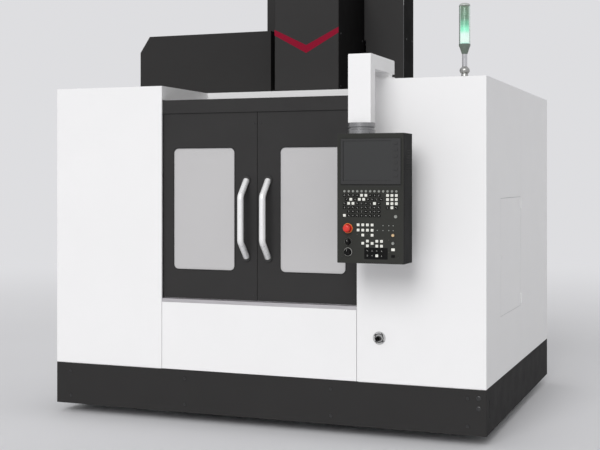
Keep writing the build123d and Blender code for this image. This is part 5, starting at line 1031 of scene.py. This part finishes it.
class MACHINE_OT_keys(Operator):
    """Every key and push button of the control pendant"""
    bl_idname = "machine.keys"
    bl_label = "Keys"

    def execute(self, context):
        trim = context.scene.machine_trim
        first, pitch, top, row_pitch, dish = 43.0, 24.5, 370.0, 22.0, 0.0005
        operator_first, operator_pitch, wide = 121.5, 26.5, {"key_white": 1.0, "key_dark": 1.18}
        caps = {paint: bmesh.new() for paint in ("key_dark", "key_white", "key_grey", "key_amber")}
        marks = {paint: bmesh.new() for paint in ("key_dark", "key_white")}
        keys = [(first + column * pitch, top - row * row_pitch,
                 "key_white" if column in WHITE_KEYS.get(row, ()) else "key_dark")
                for row, column in keyboard()]
        keys.append((first, 260.0, "key_white"))
        keys += [(operator_first + column * operator_pitch, z, paint)
                 for rows, paint in ((OPERATOR_ROWS, "key_white"), (DARK_OPERATOR_ROWS, "key_dark"))
                 for z, columns in rows for column in columns]
        for i, (x, z, paint) in enumerate(keys):
            key_cap(caps[paint], x, z, trim, wide[paint])
            legend(marks[paint], x, z, trim.key_t - dish, i * 3 + i // 4)
        for column in range(13):
            round_cap(caps["key_grey"], first + column * pitch, 392.0, 0.0066, trim.key_t)
        for z, paint in SIDE_BUTTONS:
            round_cap(caps[paint], SIDE_COLUMN, z, 0.0078, 0.008)
        for z, paint in SIDE_KEYS:
            key_cap(caps[paint], SIDE_COLUMN, z, trim, 1.3)
        round_cap(caps["key_grey"], 333.0, 256.0, 0.009, 0.004)
        for paint, bm in caps.items():
            piece(f"{paint}_caps", bm, "pendant", paint, replaced=("panel_keys",))
        piece("dark_key_legends", marks["key_dark"], "pendant", "marking", smooth=False)
        piece("white_key_legends", marks["key_white"], "pendant", "key_grey", smooth=False)

        bm = bmesh.new()
        for z, _ in SIDE_BUTTONS:
            ring(bm, on_plate(SIDE_COLUMN, z), FRONT, 0.0080, 0.0100, 0.0, 0.002, 28)
        piece("button_collars", bm, "pendant", "fastener")
        bm = bmesh.new()
        plate(bm, on_plate(156.0, 24.0, 0.0004), on_plate(288.0, 86.0), 0.0)
        piece("feed_key_field", bm, "pendant", "key_dark", smooth=False)
        return {"FINISHED"}


class MACHINE_OT_indicators(Operator):
    """Indicator lamps over the operator keys"""
    bl_idname = "machine.indicators"
    bl_label = "Indicators"

    def execute(self, context):
        lit = ((262, 207), (294.6, 207), (319, 207), (230, 180.6), (262, 180.6), (294.6, 180.6), (319, 180.6))
        unlit = ((115.8, 157), (172.5, 157), (294.6, 129.5), (294.6, 63.6))
        for name, places, paint in (("lit_indicators", lit, "led_pale"),
                                    ("unlit_indicators", unlit, "led_off")):
            bm = bmesh.new()
            for x, z in places:
                lathe(bm, [(0.0, 0.0), (0.0025, 0.0), (0.0023, 0.0014), (0.0012, 0.0022), (0.0, 0.0025)],
                      on_plate(x, z), FRONT, 16)
            piece(name, bm, "pendant", paint)
        return {"FINISHED"}


class MACHINE_OT_dials(Operator):
    """Guard ring of the stop button, the ticks round both knobs and the knobs' grips"""
    bl_idname = "machine.dials"
    bl_label = "Dials"

    def execute(self, context):
        bm = bmesh.new()
        lathe(bm, [(0.0255, 0.003), (0.0272, 0.003), (0.0272, 0.0037), (0.0255, 0.0037)],
              on_plate(*STOP_AT), FRONT, 48, closed=True)
        piece("stop_ring", bm, "pendant", "yellow_ring")
        bm = bmesh.new()
        lathe(bm, [(0.0155, 0.003), (0.0256, 0.003), (0.0250, 0.0085), (0.0238, 0.0095), (0.0218, 0.0095),
                   (0.0206, 0.0044), (0.0155, 0.0044)], on_plate(*STOP_AT), FRONT, 48, closed=True)
        piece("stop_shroud", bm, "pendant", "red_plastic")
        bm = bmesh.new()
        for at, inner, outer, count, sweep in ((FEED_AT, 0.020, 0.022, 21, 300.0),
                                               (MODE_AT, 0.025, 0.027, 9, 180.0)):
            for i in range(count):
                turn = Matrix.Rotation(math.radians(sweep * (i / (count - 1) - 0.5)), 4, "Y")
                long = 0.0012 if i % 5 == 0 else 0.0
                plate(bm, (-0.0003, -0.0003, inner), (0.0003, 0.0, outer + long), 0.0, 1,
                      Matrix.Translation(on_plate(*at)) @ turn)
        piece("dial_ticks", bm, "pendant", "key_grey", smooth=False)
        bm = bmesh.new()
        plate(bm, on_plate(40.0, 417.5, 0.0003), on_plate(360.0, 420.5))
        piece("panel_divider", bm, "pendant", "black_plastic", smooth=False)
        bm = bmesh.new()
        knurled(bm, on_plate(*FEED_AT, 0.0012), FRONT, 0.01645, 0.005, 26)
        piece("feed_knob_grip", bm, "feed_knob", "knob_black")
        bm = bmesh.new()
        ring(bm, on_plate(*MODE_AT), FRONT, 0.0213, 0.0228, 0.0004, 0.0018, 48)
        plate(bm, on_plate(62.4, 66.0, 0.0234), on_plate(63.6, 76.5, 0.0229))
        piece("mode_knob_ring", bm, "mode_knob", "marking")
        bm = bmesh.new()
        plate(bm, on_plate(62.9, 119.0, 0.0214), on_plate(64.1, 128.0, 0.0209))
        piece("feed_knob_pointer", bm, "feed_knob", "marking")
        return {"FINISHED"}


class MACHINE_OT_pendant_trim(Operator):
    """Plate screws, side vents and back plate of the pendant box, and the screws in its arm"""
    bl_idname = "machine.pendant_trim"
    bl_label = "Pendant trim"

    def execute(self, context):
        spots = [(on_plate(x, 35), FRONT) for x in (29.5, 348.5)]
        screws("plate_screws", spots, "pendant", 0.0042, 0.0016)
        low, high = PENDANT
        bm = bmesh.new()
        for side_x, out in ((low.x, -0.0016), (high.x, 0.0016)):
            for i in range(9):
                z = low.z + 0.50 + i * 0.014
                x0, x1 = sorted((side_x, side_x + out))
                plate(bm, (x0, low.y + 0.045, z), (x1, high.y - 0.045, z + 0.005), 0.0007, 1)
        piece("pendant_vents", bm, "pendant", "dark_sheet")
        bm = bmesh.new()
        back = high.y + 0.002
        plate(bm, (low.x + 0.03, high.y, low.z + 0.04), (high.x - 0.03, back, high.z - 0.04), 0.001, 1)
        piece("pendant_back_plate", bm, "pendant", "dark_sheet")
        spots = grid((low.x + 0.045, (low.x + high.x) / 2, high.x - 0.045), (back,),
                     (low.z + 0.055, high.z - 0.055), REAR)
        screws("back_plate_screws", spots, "pendant", 0.0045, 0.002)
        flange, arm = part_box("swivel_flange"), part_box("pendant_arm")
        spots = grid((arm[0].x + 0.025, arm[1].x - 0.025), (flange[0].y + 0.05, flange[1].y - 0.05),
                     (arm[1].z,), UP)
        screws("arm_screws", spots, "pendant_arm", 0.006)
        return {"FINISHED"}


# Drives and guides


class MACHINE_OT_ball_screws(Operator):
    """Rolled threads of the three ball screws between their journals"""
    bl_idname = "machine.ball_screws"
    bl_label = "Ball screws"

    def execute(self, context):
        trim = context.scene.machine_trim
        for node, normal, radius, journal in (("x_ballscrew", RIGHT, 0.016, 0.012),
                                              ("y_ballscrew", REAR, 0.020, 0.015),
                                              ("z_ballscrew", UP, 0.020, 0.015)):
            low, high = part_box(node)
            reach = (high - low).dot(normal)
            start = (low + high) / 2 - normal * reach / 2
            bm = bmesh.new()
            helix(bm, start + normal * 0.052, normal, reach - 0.108, trim.lead, radius - 0.0026,
                  radius - 0.0002, trim.thread)
            neck, body = journal - 0.0001, radius - 0.0001
            for foot, inward, seat in ((start, normal, 0.040), (start + normal * reach, -normal, 0.044)):
                lathe(bm, [(0.0, 0.0), (journal - 0.001, 0.0), (neck, 0.001), (neck, seat),
                           (radius - 0.0012, seat), (body, seat + 0.0012), (body, seat + 0.042),
                           (0.0, seat + 0.042)], foot, inward, 28)
            piece(f"{node}_thread", bm, node, "chrome", replaced=(node,))
        return {"FINISHED"}


def bolt_caps(bm, start, along, reach, normal):
    """Flat caps over the bolts of a rail, one for each pitch that fits in the reach."""
    pitch = 0.105
    for i in range(int(reach / pitch)):
        disc(bm, Vector(start) + along * pitch * i, normal, 0.0085, 0.00025, 16)


class MACHINE_OT_rail_caps(Operator):
    """Caps over the bolts of every guide rail"""
    bl_idname = "machine.rail_caps"
    bl_label = "Rail caps"

    def execute(self, context):
        bm = bmesh.new()
        low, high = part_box("guide_rails")
        floor_x, floor_top, floor_end, column_x, column_foot = 0.26, 0.598, 0.2985, 0.16, 1.10
        for side in SIDES:
            bolt_caps(bm, (side * floor_x, low.y + 0.04, floor_top), REAR, floor_end - low.y, UP)
            bolt_caps(bm, (side * column_x, high.y - 0.038, column_foot + 0.025), UP, high.z - column_foot,
                      FRONT)
        piece("guide_rail_caps", bm, "base", "brass")
        bm = bmesh.new()
        low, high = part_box("x_rails")
        for y in (low.y + 0.0225, high.y - 0.0225):
            bolt_caps(bm, (low.x + 0.04, y, high.z), RIGHT, high.x - low.x, UP)
        piece("x_rail_caps", bm, "saddle", "brass")
        return {"FINISHED"}


def end_seal(bm, rail, across, out, along):
    """Wiper at the end of a carriage: a U over the rail's head; rail is the middle of the rail's foot."""
    half, low, high, bore, roof = 0.046, 0.012, 0.060, 0.0235, 0.0392
    outline = [(-half, low), (-bore, low), (-bore, roof), (bore, roof), (bore, low), (half, low),
               (half, high), (-half, high)]
    slab(bm, [rail + across * u + out * v for u, v in outline], along)


class MACHINE_OT_carriage_seals(Operator):
    """Wipers on both ends of every guide carriage"""
    bl_idname = "machine.carriage_seals"
    bl_label = "Carriage seals"

    def execute(self, context):
        thick, half_l = 0.004, 0.055
        column_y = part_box("guide_rails")[1].y
        for body, xs, ys, zs, across, out, along in (
                ("saddle", (-0.26, 0.26), around(SPINDLE_AT.y, 0.18), (0.56,), RIGHT, UP, REAR),
                ("table", (-0.15, 0.15), around(SPINDLE_AT.y, 0.11), (0.75,), REAR, UP, RIGHT),
                ("head", (-0.16, 0.16), (column_y,), (1.763, 2.343), RIGHT, FRONT, UP)):
            bm = bmesh.new()
            for middle, _ in grid(xs, ys, zs, out):
                for way in (along, -along):
                    end_seal(bm, middle + way * half_l, across, out, way * thick)
            piece(f"{body}_seals", bm, body, "rubber", smooth=False)
        return {"FINISHED"}


class MACHINE_OT_way_wipers(Operator):
    """Wiper lips along the front edges of the telescopic way covers"""
    bl_idname = "machine.way_wipers"
    bl_label = "Way wipers"

    def execute(self, context):
        for node, body, low_z, high_z in (("y_cover_middle", "y_cover_middle", 0.6404, 0.6424),
                                          ("y_cover_saddle", "saddle", 0.6429, 0.6475)):
            low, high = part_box(node)
            bm = bmesh.new()
            plate(bm, (low.x + 0.002, low.y - 0.003, low_z), (high.x - 0.002, low.y, high_z), 0.0006, 1)
            piece(f"{node}_lip", bm, body, "brass")
        return {"FINISHED"}


class MACHINE_OT_nozzles(Operator):
    """Jointed coolant nozzles round the spindle nose"""
    bl_idname = "machine.nozzles"
    bl_label = "Coolant nozzles"

    def execute(self, context):
        bm, tips = bmesh.new(), bmesh.new()
        spindle, count, nose_z, tip_z = Vector((0, SPINDLE_AT.y, 0)), 7, 1.700, 1.588
        for degrees in (30.0, 150.0, 210.0, 330.0):
            out = Vector((math.cos(math.radians(degrees)), math.sin(math.radians(degrees)), 0))
            base = spindle + UP * nose_z + out * 0.150
            end = spindle + UP * tip_z + out * 0.118
            bend = base + DOWN * 0.06 + out * 0.006
            disc(bm, base, DOWN, 0.012, 0.006, 20, 0.001)
            for i in range(count + 1):
                share = (i + (0.5 if i < count else 0.3)) / (count + 1)
                spot = base * (1 - share) ** 2 + bend * 2 * share * (1 - share) + end * share ** 2
                way = ((bend - base) * (1 - share) + (end - bend) * share).normalized()
                if i < count:
                    lathe(bm, [(0.0, -0.0072), (0.0058, -0.0072), (0.0072, -0.004), (0.0078, 0.0),
                               (0.0072, 0.004), (0.0052, 0.0072), (0.0, 0.0072)], spot, way, 14)
            lathe(tips, [(0.0, -0.004), (0.0062, -0.004), (0.0066, 0.0), (0.0034, 0.015), (0.0022, 0.015),
                         (0.0020, 0.006), (0.0, 0.006)], spot, (end - bend).normalized(), 14)
        piece("coolant_nozzles", bm, "head", "drive_grey")
        piece("nozzle_tips", tips, "head", "key_amber")
        return {"FINISHED"}


class MACHINE_OT_work_lamps(Operator):
    """Sealed work lamps along both side walls of the working space"""
    bl_idname = "machine.work_lamps"
    bl_label = "Work lamps"

    def execute(self, context):
        wall = GUARD[1].x - SHEET
        y0, y1 = FRONT_Y + 0.30, FRONT_Y + 0.85
        housing, cover = bmesh.new(), bmesh.new()
        low, high, deep, cap = 1.86, 1.93, 0.034, 0.012
        both(housing, (wall, y0, low), (wall - deep, y1, high), 0.006)
        for y in (y0 - cap, y1):
            both(housing, (wall, y, low + 0.015), (wall - deep, y + cap, high - 0.015), 0.002)
        both(cover, (wall - deep + 0.001, y0 + 0.02, low + 0.01),
             (wall - deep - 0.004, y1 - 0.02, high - 0.01), 0.002)
        piece("lamp_housings", housing, "base", "satin_stem")
        piece("lamp_covers", cover, "base", "lamp_cover")
        return {"FINISHED"}


class MACHINE_OT_service_units(Operator):
    """Lubricator and air unit that the side hatch gives access to"""
    bl_idname = "machine.service_units"
    bl_label = "Lubricator and air unit"

    def execute(self, context):
        wall = GUARD[1].x
        y0, y1 = FRONT_Y + 0.50, FRONT_Y + 0.72
        bm = bmesh.new()
        plate(bm, (wall, y0 - 0.02, 0.76), (wall + 0.004, y1 + 0.02, 1.14), 0.001, 1)
        plate(bm, (wall + 0.004, y0, 1.00), (wall + 0.114, y1, 1.12), 0.006)
        disc(bm, (wall + 0.06, y0 + 0.06, 1.12), UP, 0.03, 0.045, 28, 0.004)
        disc(bm, (wall + 0.06, y1 - 0.05, 1.12), UP, 0.022, 0.012, 24, 0.003)
        piece("lubricator_body", bm, "base", "drive_grey")
        bm = bmesh.new()
        plate(bm, (wall + 0.006, y0 + 0.005, 0.78), (wall + 0.112, y1 - 0.005, 1.00), 0.012, 3)
        piece("oil_reservoir", bm, "base", "oil")
        bm = bmesh.new()
        unit_y = (FRONT_Y + 0.80, FRONT_Y + 0.87, FRONT_Y + 0.94)
        plate(bm, (wall, unit_y[0] - 0.03, 1.045), (wall + 0.025, unit_y[2] + 0.03, 1.075), 0.002)
        for y in unit_y:
            plate(bm, (wall + 0.025, y - 0.026, 1.03), (wall + 0.077, y + 0.026, 1.09), 0.004)
        disc(bm, (wall + 0.051, unit_y[1], 1.09), UP, 0.021, 0.035, 28, 0.004)
        disc(bm, (wall + 0.077, unit_y[1], 1.06), RIGHT, 0.020, 0.012, 32, 0.002)
        piece("air_unit_blocks", bm, "base", "black_plastic")
        bm = bmesh.new()
        for y in (unit_y[0], unit_y[2]):
            lathe(bm, [(0.0, 0.0), (0.021, 0.0), (0.021, 0.05), (0.016, 0.068), (0.006, 0.072),
                       (0.006, 0.08), (0.0, 0.08)], (wall + 0.051, y, 1.03), DOWN, 24)
        disc(bm, (wall + 0.089, unit_y[1], 1.06), RIGHT, 0.018, 0.002, 32, 0.0008)
        piece("air_unit_bowls", bm, "base", "clear_bowl")
        return {"FINISHED"}


class MACHINE_OT_spindle_drive(Operator):
    """Cooling ribs, terminal box and fan guard of the spindle motor"""
    bl_idname = "machine.spindle_drive"
    bl_label = "Spindle drive"

    def execute(self, context):
        low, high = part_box("spindle_motor")
        centre = Vector(((low.x + high.x) / 2, (low.y + high.y) / 2, 0))
        radius = high.x - centre.x
        bm = bmesh.new()
        spokes(bm, centre, 30, (radius - 0.02, -0.0016, low.z + 0.06),
               (radius + 0.010, 0.0016, high.z - 0.07), 0.5)
        plate(bm, (centre.x - 0.06, high.y - 0.02, high.z - 0.22),
              (centre.x + 0.06, high.y + 0.055, high.z - 0.09), 0.005)
        piece("motor_ribs", bm, "head", "motor_black")
        bm = bmesh.new()
        for inner in (0.03, 0.052, 0.074, 0.096):
            ring(bm, centre + UP * high.z, UP, inner, inner + 0.004, 0.006, 0.010, 32)
        spokes(bm, centre + UP * high.z, 6, (0.014, -0.002, 0.0), (0.100, 0.002, 0.008))
        disc(bm, centre + UP * high.z, UP, 0.02, 0.012, 24, 0.002)
        piece("fan_guard", bm, "head", "fastener")
        return {"FINISHED"}


class MACHINE_OT_axis_drives(Operator):
    """Flange screws and plugs of the axis motors"""
    bl_idname = "machine.axis_drives"
    bl_label = "Axis drives"

    def execute(self, context):
        low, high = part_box("x_motor")
        middle = (low + high) / 2
        spots = grid((low.x + 0.014,), around(middle.y, 0.041), around(middle.z, 0.041), RIGHT)
        screws("x_motor_screws", spots, "saddle", 0.005, 0.005)
        bm = bmesh.new()
        for z in (-0.02, 0.02):
            disc(bm, (high.x - 0.085, low.y + 0.006, middle.z + z), FRONT, 0.012, 0.022, 20, 0.002)
            disc(bm, (high.x - 0.085, low.y - 0.016, middle.z + z), FRONT, 0.0095, 0.014, 20, 0.002)
        piece("x_motor_plugs", bm, "saddle", "black_plastic")
        low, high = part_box("axis_motors")
        z_face, y_face, bolt = high.z - 0.24 + 0.014, high.y - 0.24 + 0.014, 0.054
        z_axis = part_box("z_ballscrew")[0].y + 0.020
        y_axis = (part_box("y_ballscrew")[0].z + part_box("y_ballscrew")[1].z) / 2
        spots = grid((-bolt, bolt), around(z_axis, bolt), (z_face,), UP)
        spots += grid((-bolt, bolt), (y_face,), around(y_axis, bolt), REAR)
        screws("axis_motor_screws", spots, "base", 0.006, 0.006)
        return {"FINISHED"}


class MACHINE_OT_magazine_trim(Operator):
    """Rims of the tool pots and screws of the disc's hub"""
    bl_idname = "machine.magazine_trim"
    bl_label = "Magazine trim"

    def execute(self, context):
        circle, mouth, count = 0.320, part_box("tool_pots")[1].y, 20
        hub = Vector(((MAGAZINE[0].x + MAGAZINE[1].x) / 2, 0, 1.99))
        rims, change = bmesh.new(), bmesh.new()
        for i, turn in enumerate(angles(count)):
            out = Vector((math.sin(turn), 0, -math.cos(turn)))
            ring(rims if i else change, hub + out * circle + REAR * mouth, REAR, 0.0245, 0.0340, 0.0,
                 0.003, 24)
        piece("pot_rims", rims, "magazine", "steel")
        disc_face = REAR * MAGAZINE[0].y
        spots = [(hub + Vector((math.sin(a) * 0.058, 0, math.cos(a) * 0.058)) + disc_face, FRONT)
                 for a in angles(8)]
        screws("disc_screws", spots, "magazine", 0.006, 0.005)
        piece("change_pot_rim", change, "change_pot", "steel")
        return {"FINISHED"}


# Rear and base


class MACHINE_OT_electrical_trim(Operator):
    """Faces of the drive modules, terminal rows and trunking"""
    bl_idname = "machine.electrical_trim"
    bl_label = "Electrical trim"

    def execute(self, context):
        face_y = ELECTRICAL[0].y + 0.105
        top = ELECTRICAL[1].z
        bodies, vents, lamps = bmesh.new(), bmesh.new(), bmesh.new()
        for i in range(5):
            x = (i - 2) * 0.19
            plate(bodies, (x - 0.057, face_y, top - 0.556), (x + 0.057, face_y + 0.004, top - 0.164), 0.0015)
            for j in range(12):
                z = top - 0.26 - j * 0.011
                plate(vents, (x - 0.045, face_y + 0.004, z), (x + 0.045, face_y + 0.0052, z + 0.0045))
            plate(vents, (x - 0.04, face_y + 0.004, top - 0.53), (x + 0.04, face_y + 0.010, top - 0.48),
                  0.001)
            for j in range(3):
                disc(lamps, (x - 0.03 + j * 0.012, face_y + 0.004, top - 0.20), REAR, 0.0025, 0.002, 12)
        piece("drive_faces", bodies, "base", "drive_grey")
        piece("drive_vents", vents, "base", "black_plastic", smooth=False)
        piece("drive_lamps", lamps, "base", "led_green")

        bm = bmesh.new()
        terminal_y, low = ELECTRICAL[0].y + 0.080, ELECTRICAL[0].z
        for i in range(58):
            x = -0.43 + i * 0.015
            plate(bm, (x, terminal_y, low + 0.545), (x + 0.0125, terminal_y + 0.012, low + 0.615), 0.0015, 1)
        piece("terminals", bm, "base", "key_grey")
        bm = bmesh.new()
        for z in (low + 0.68, low + 0.44):
            plate(bm, (-0.5, ELECTRICAL[0].y + 0.008, z), (0.5, ELECTRICAL[0].y + 0.058, z + 0.05), 0.002)
        piece("cable_trunking", bm, "base", "drive_grey")
        return {"FINISHED"}


class MACHINE_OT_louvres(Operator):
    """Inward hoods behind the slots of the electrical door, and its seal"""
    bl_idname = "machine.louvres"
    bl_label = "Louvres"

    def execute(self, context):
        low, high = ELECTRICAL_DOOR
        inner = high.y - SHEET
        bm = bmesh.new()
        outline = [(0.0, 0.0065), (-0.0048, 0.0052), (-0.0086, 0.0016), (-0.0098, -0.004), (-0.0086, -0.004),
                   (-0.0075, 0.001), (-0.0042, 0.0041), (0.0, 0.0052)]
        for x in (-0.3, 0.3):
            for first in (low.z + 0.160, high.z - 0.160 - 7 * 0.022):
                for i in range(8):
                    z = first + i * 0.022
                    slab(bm, [(x - 0.112, inner + y, z + up) for y, up in outline], RIGHT * 0.224)
        piece("louvre_hoods", bm, "electrical_door", "white_sheet")
        bm = bmesh.new()
        y0, y1 = low.y + 0.014, inner
        for x in (-0.590, 0.582):
            plate(bm, (x, y0, low.z + 0.008), (x + 0.008, y1, high.z - 0.008), 0.001, 1)
        for z in (low.z + 0.008, high.z - 0.016):
            plate(bm, (-0.580, y0, z), (0.580, y1, z + 0.008), 0.001, 1)
        piece("door_seal", bm, "electrical_door", "rubber")
        return {"FINISHED"}


class MACHINE_OT_main_switch(Operator):
    """Main switch on the side of the electrical cabinet"""
    bl_idname = "machine.main_switch"
    bl_label = "Main switch"

    def execute(self, context):
        side = 0.600
        at = Vector((side, ELECTRICAL[0].y + 0.10, 1.46))
        bm = bmesh.new()
        plate(bm, at + Vector((0, -0.035, -0.035)), at + Vector((0.003, 0.035, 0.035)), 0.001, 1)
        piece("switch_plate", bm, "base", "yellow_ring")
        bm = bmesh.new()
        disc(bm, at + RIGHT * 0.003, RIGHT, 0.026, 0.012, 36, 0.003)
        plate(bm, at + Vector((0.012, -0.007, -0.031)), at + Vector((0.032, 0.007, 0.031)), 0.004, 3)
        piece("switch_handle", bm, "base", "red_plastic")
        return {"FINISHED"}


class MACHINE_OT_coolant_trim(Operator):
    """Pump cowl with its ribs and terminal box, deck handles and strainer lid of the coolant tank"""
    bl_idname = "machine.coolant_trim"
    bl_label = "Coolant trim"

    def execute(self, context):
        low, high = TANK
        deck = 0.300
        pump = Vector((low.x + 0.180, high.y - 0.200, 0))
        bm = bmesh.new()
        lathe(bm, [(0.0, 0.0), (0.073, 0.0), (0.073, 0.030), (0.066, 0.040), (0.0, 0.042)],
              pump + UP * high.z, UP, 36)
        spokes(bm, pump, 24, (0.066, -0.0016, deck + 0.06), (0.077, 0.0016, high.z - 0.03))
        plate(bm, pump + Vector((0.06, -0.04, deck + 0.12)), pump + Vector((0.115, 0.04, deck + 0.2)), 0.005)
        piece("pump_cowl", bm, "base", "motor_black")
        bm = bmesh.new()
        for y in (high.y - 0.39, high.y - 0.06):
            points = [(-0.05, 0.0), (-0.05, 0.026), (-0.04, 0.036), (0.04, 0.036), (0.05, 0.026), (0.05, 0.0)]
            tube(bm, [(high.x - 0.2 + x, y, deck + z) for x, z in points], 0.005)
        piece("tank_handles", bm, "base", "chrome")
        bm = bmesh.new()
        plate(bm, (high.x - 0.34, high.y - 0.34, deck), (high.x - 0.05, high.y - 0.11, deck + 0.004), 0.0015)
        piece("strainer_lid", bm, "base", "inner_sheet")
        return {"FINISHED"}


# Stage


class MACHINE_OT_stage(Operator):
    """Pale floor, soft studio light and the camera"""
    bl_idname = "machine.stage"
    bl_label = "Stage"

    def execute(self, context):
        scene = context.scene
        view = scene.machine_view
        pale = (0.87, 0.87, 0.88)
        scene.view_settings.view_transform = "Standard"
        bm = bmesh.new()
        bmesh.ops.create_grid(bm, x_segments=1, y_segments=1, size=40.0)
        floor = mesh_object("floor", bm, self.pale_floor(pale))

        camera = bpy.data.cameras.new("photo_camera")
        camera.lens = view.lens
        camera.sensor_width = 36.0
        camera.shift_y = view.lift
        camera.clip_end = 120.0
        seat = linked("photo_camera", camera)
        seat.location = (view.across, FRONT_Y - view.distance, view.eye)
        seat.rotation_euler = (math.radians(90.0), 0.0, view.yaw)
        scene.camera = seat
        self.studio_air(scene, pale, view.ambient)
        lamp = bpy.data.lights.new("studio_key", "SUN")
        lamp.energy = view.key
        lamp.angle = math.radians(34.0)
        holder = linked("studio_key", lamp)
        holder.location = (0.5, -8.0, 6.0)
        holder.rotation_euler = Vector((0.0, 0.85, -0.5)).to_track_quat("-Z", "Y").to_euler()
        return {"FINISHED"}

    def pale_floor(self, pale):
        """Floor paint that turns into the background's own colour some way from the machine."""
        made = Finish("pale_floor", roughness=0.7)
        made.colour(pale, made.noise(0.5, 2.0), 0.01)
        reach = made.node("VectorMath", None, {0: made.coords}, operation="LENGTH").outputs["Value"]
        away = made.node("MapRange", {"From Min": 3.5, "From Max": 13.0}, {"Value": reach},
                         interpolation_type="SMOOTHSTEP").outputs["Result"]
        glow = made.node("Emission", {"Color": (*linear(pale), 1.0)}).outputs["Emission"]
        mix = made.node("MixShader", None, {"Fac": away, 1: made.shader.outputs["BSDF"], 2: glow})
        made.links.new(mix.outputs["Shader"], made.nodes["Material Output"].inputs["Surface"])
        return made.material

    def studio_air(self, scene, pale, strength):
        """Even light from all round, behind a background of the floor's colour."""
        world = bpy.data.worlds.new("studio_air")
        world.use_nodes = True
        scene.world = world
        tree = world.node_tree
        ambient = tree.nodes["Background"]
        ambient.inputs["Color"].default_value = (1.0, 1.0, 1.0, 1.0)
        ambient.inputs["Strength"].default_value = strength
        shown = add_node(tree, "Background", {"Color": (*linear(pale), 1.0)})
        path = add_node(tree, "LightPath")
        seen = path.outputs["Is Camera Ray"]
        for ray in ("Is Glossy Ray", "Is Transmission Ray"):
            either = add_node(tree, "Math", None, {0: seen, 1: path.outputs[ray]}, operation="MAXIMUM")
            seen = either.outputs["Value"]
        mix = add_node(tree, "MixShader", None, {"Fac": seen, 1: ambient.outputs["Background"],
                                                 2: shown.outputs["Background"]})
        tree.links.new(mix.outputs["Shader"], tree.nodes["World Output"].inputs["Surface"])


OPERATORS = (MACHINE_OT_finishes, MACHINE_OT_stripe, MACHINE_OT_skirt_fasteners,
             MACHINE_OT_sheet_fasteners, MACHINE_OT_roof_seams, MACHINE_OT_hatch_trim, MACHINE_OT_door_trim,
             MACHINE_OT_handle_gaskets, MACHINE_OT_closing_strips, MACHINE_OT_tower_light,
             MACHINE_OT_air_port, MACHINE_OT_keys, MACHINE_OT_indicators, MACHINE_OT_dials,
             MACHINE_OT_pendant_trim, MACHINE_OT_ball_screws, MACHINE_OT_rail_caps,
             MACHINE_OT_carriage_seals, MACHINE_OT_way_wipers, MACHINE_OT_nozzles, MACHINE_OT_work_lamps,
             MACHINE_OT_service_units, MACHINE_OT_spindle_drive, MACHINE_OT_axis_drives,
             MACHINE_OT_magazine_trim, MACHINE_OT_electrical_trim, MACHINE_OT_louvres,
             MACHINE_OT_main_switch, MACHINE_OT_coolant_trim, MACHINE_OT_stage)


class MACHINE_PT_panel(Panel):
    """Every step of the machine's dress, in order"""
    bl_label = "Machining center"
    bl_idname = "MACHINE_PT_panel"
    bl_space_type = "VIEW_3D"
    bl_region_type = "UI"
    bl_category = "Machine"

    def draw(self, context):
        for operator in OPERATORS:
            self.layout.operator(operator.bl_idname)
        for group in ("machine_paint", "machine_view", "machine_trim"):
            settings = getattr(context.scene, group)
            box = self.layout.box()
            for prop in settings.__annotations__:
                box.prop(settings, prop)


CLASSES = (MachinePaint, MachineView, MachineTrim, *OPERATORS, MACHINE_PT_panel)


def register():
    for cls in CLASSES:
        bpy.utils.register_class(cls)
    bpy.types.Scene.machine_paint = PointerProperty(type=MachinePaint)
    bpy.types.Scene.machine_view = PointerProperty(type=MachineView)
    bpy.types.Scene.machine_trim = PointerProperty(type=MachineTrim)


def unregister():
    del bpy.types.Scene.machine_trim
    del bpy.types.Scene.machine_view
    del bpy.types.Scene.machine_paint
    for cls in reversed(CLASSES):
        bpy.utils.unregister_class(cls)


def main():
    register()
    for operator in OPERATORS:
        group, name = operator.bl_idname.split(".")
        getattr(getattr(bpy.ops, group), name)()


if __name__ == "__main__":
    main()
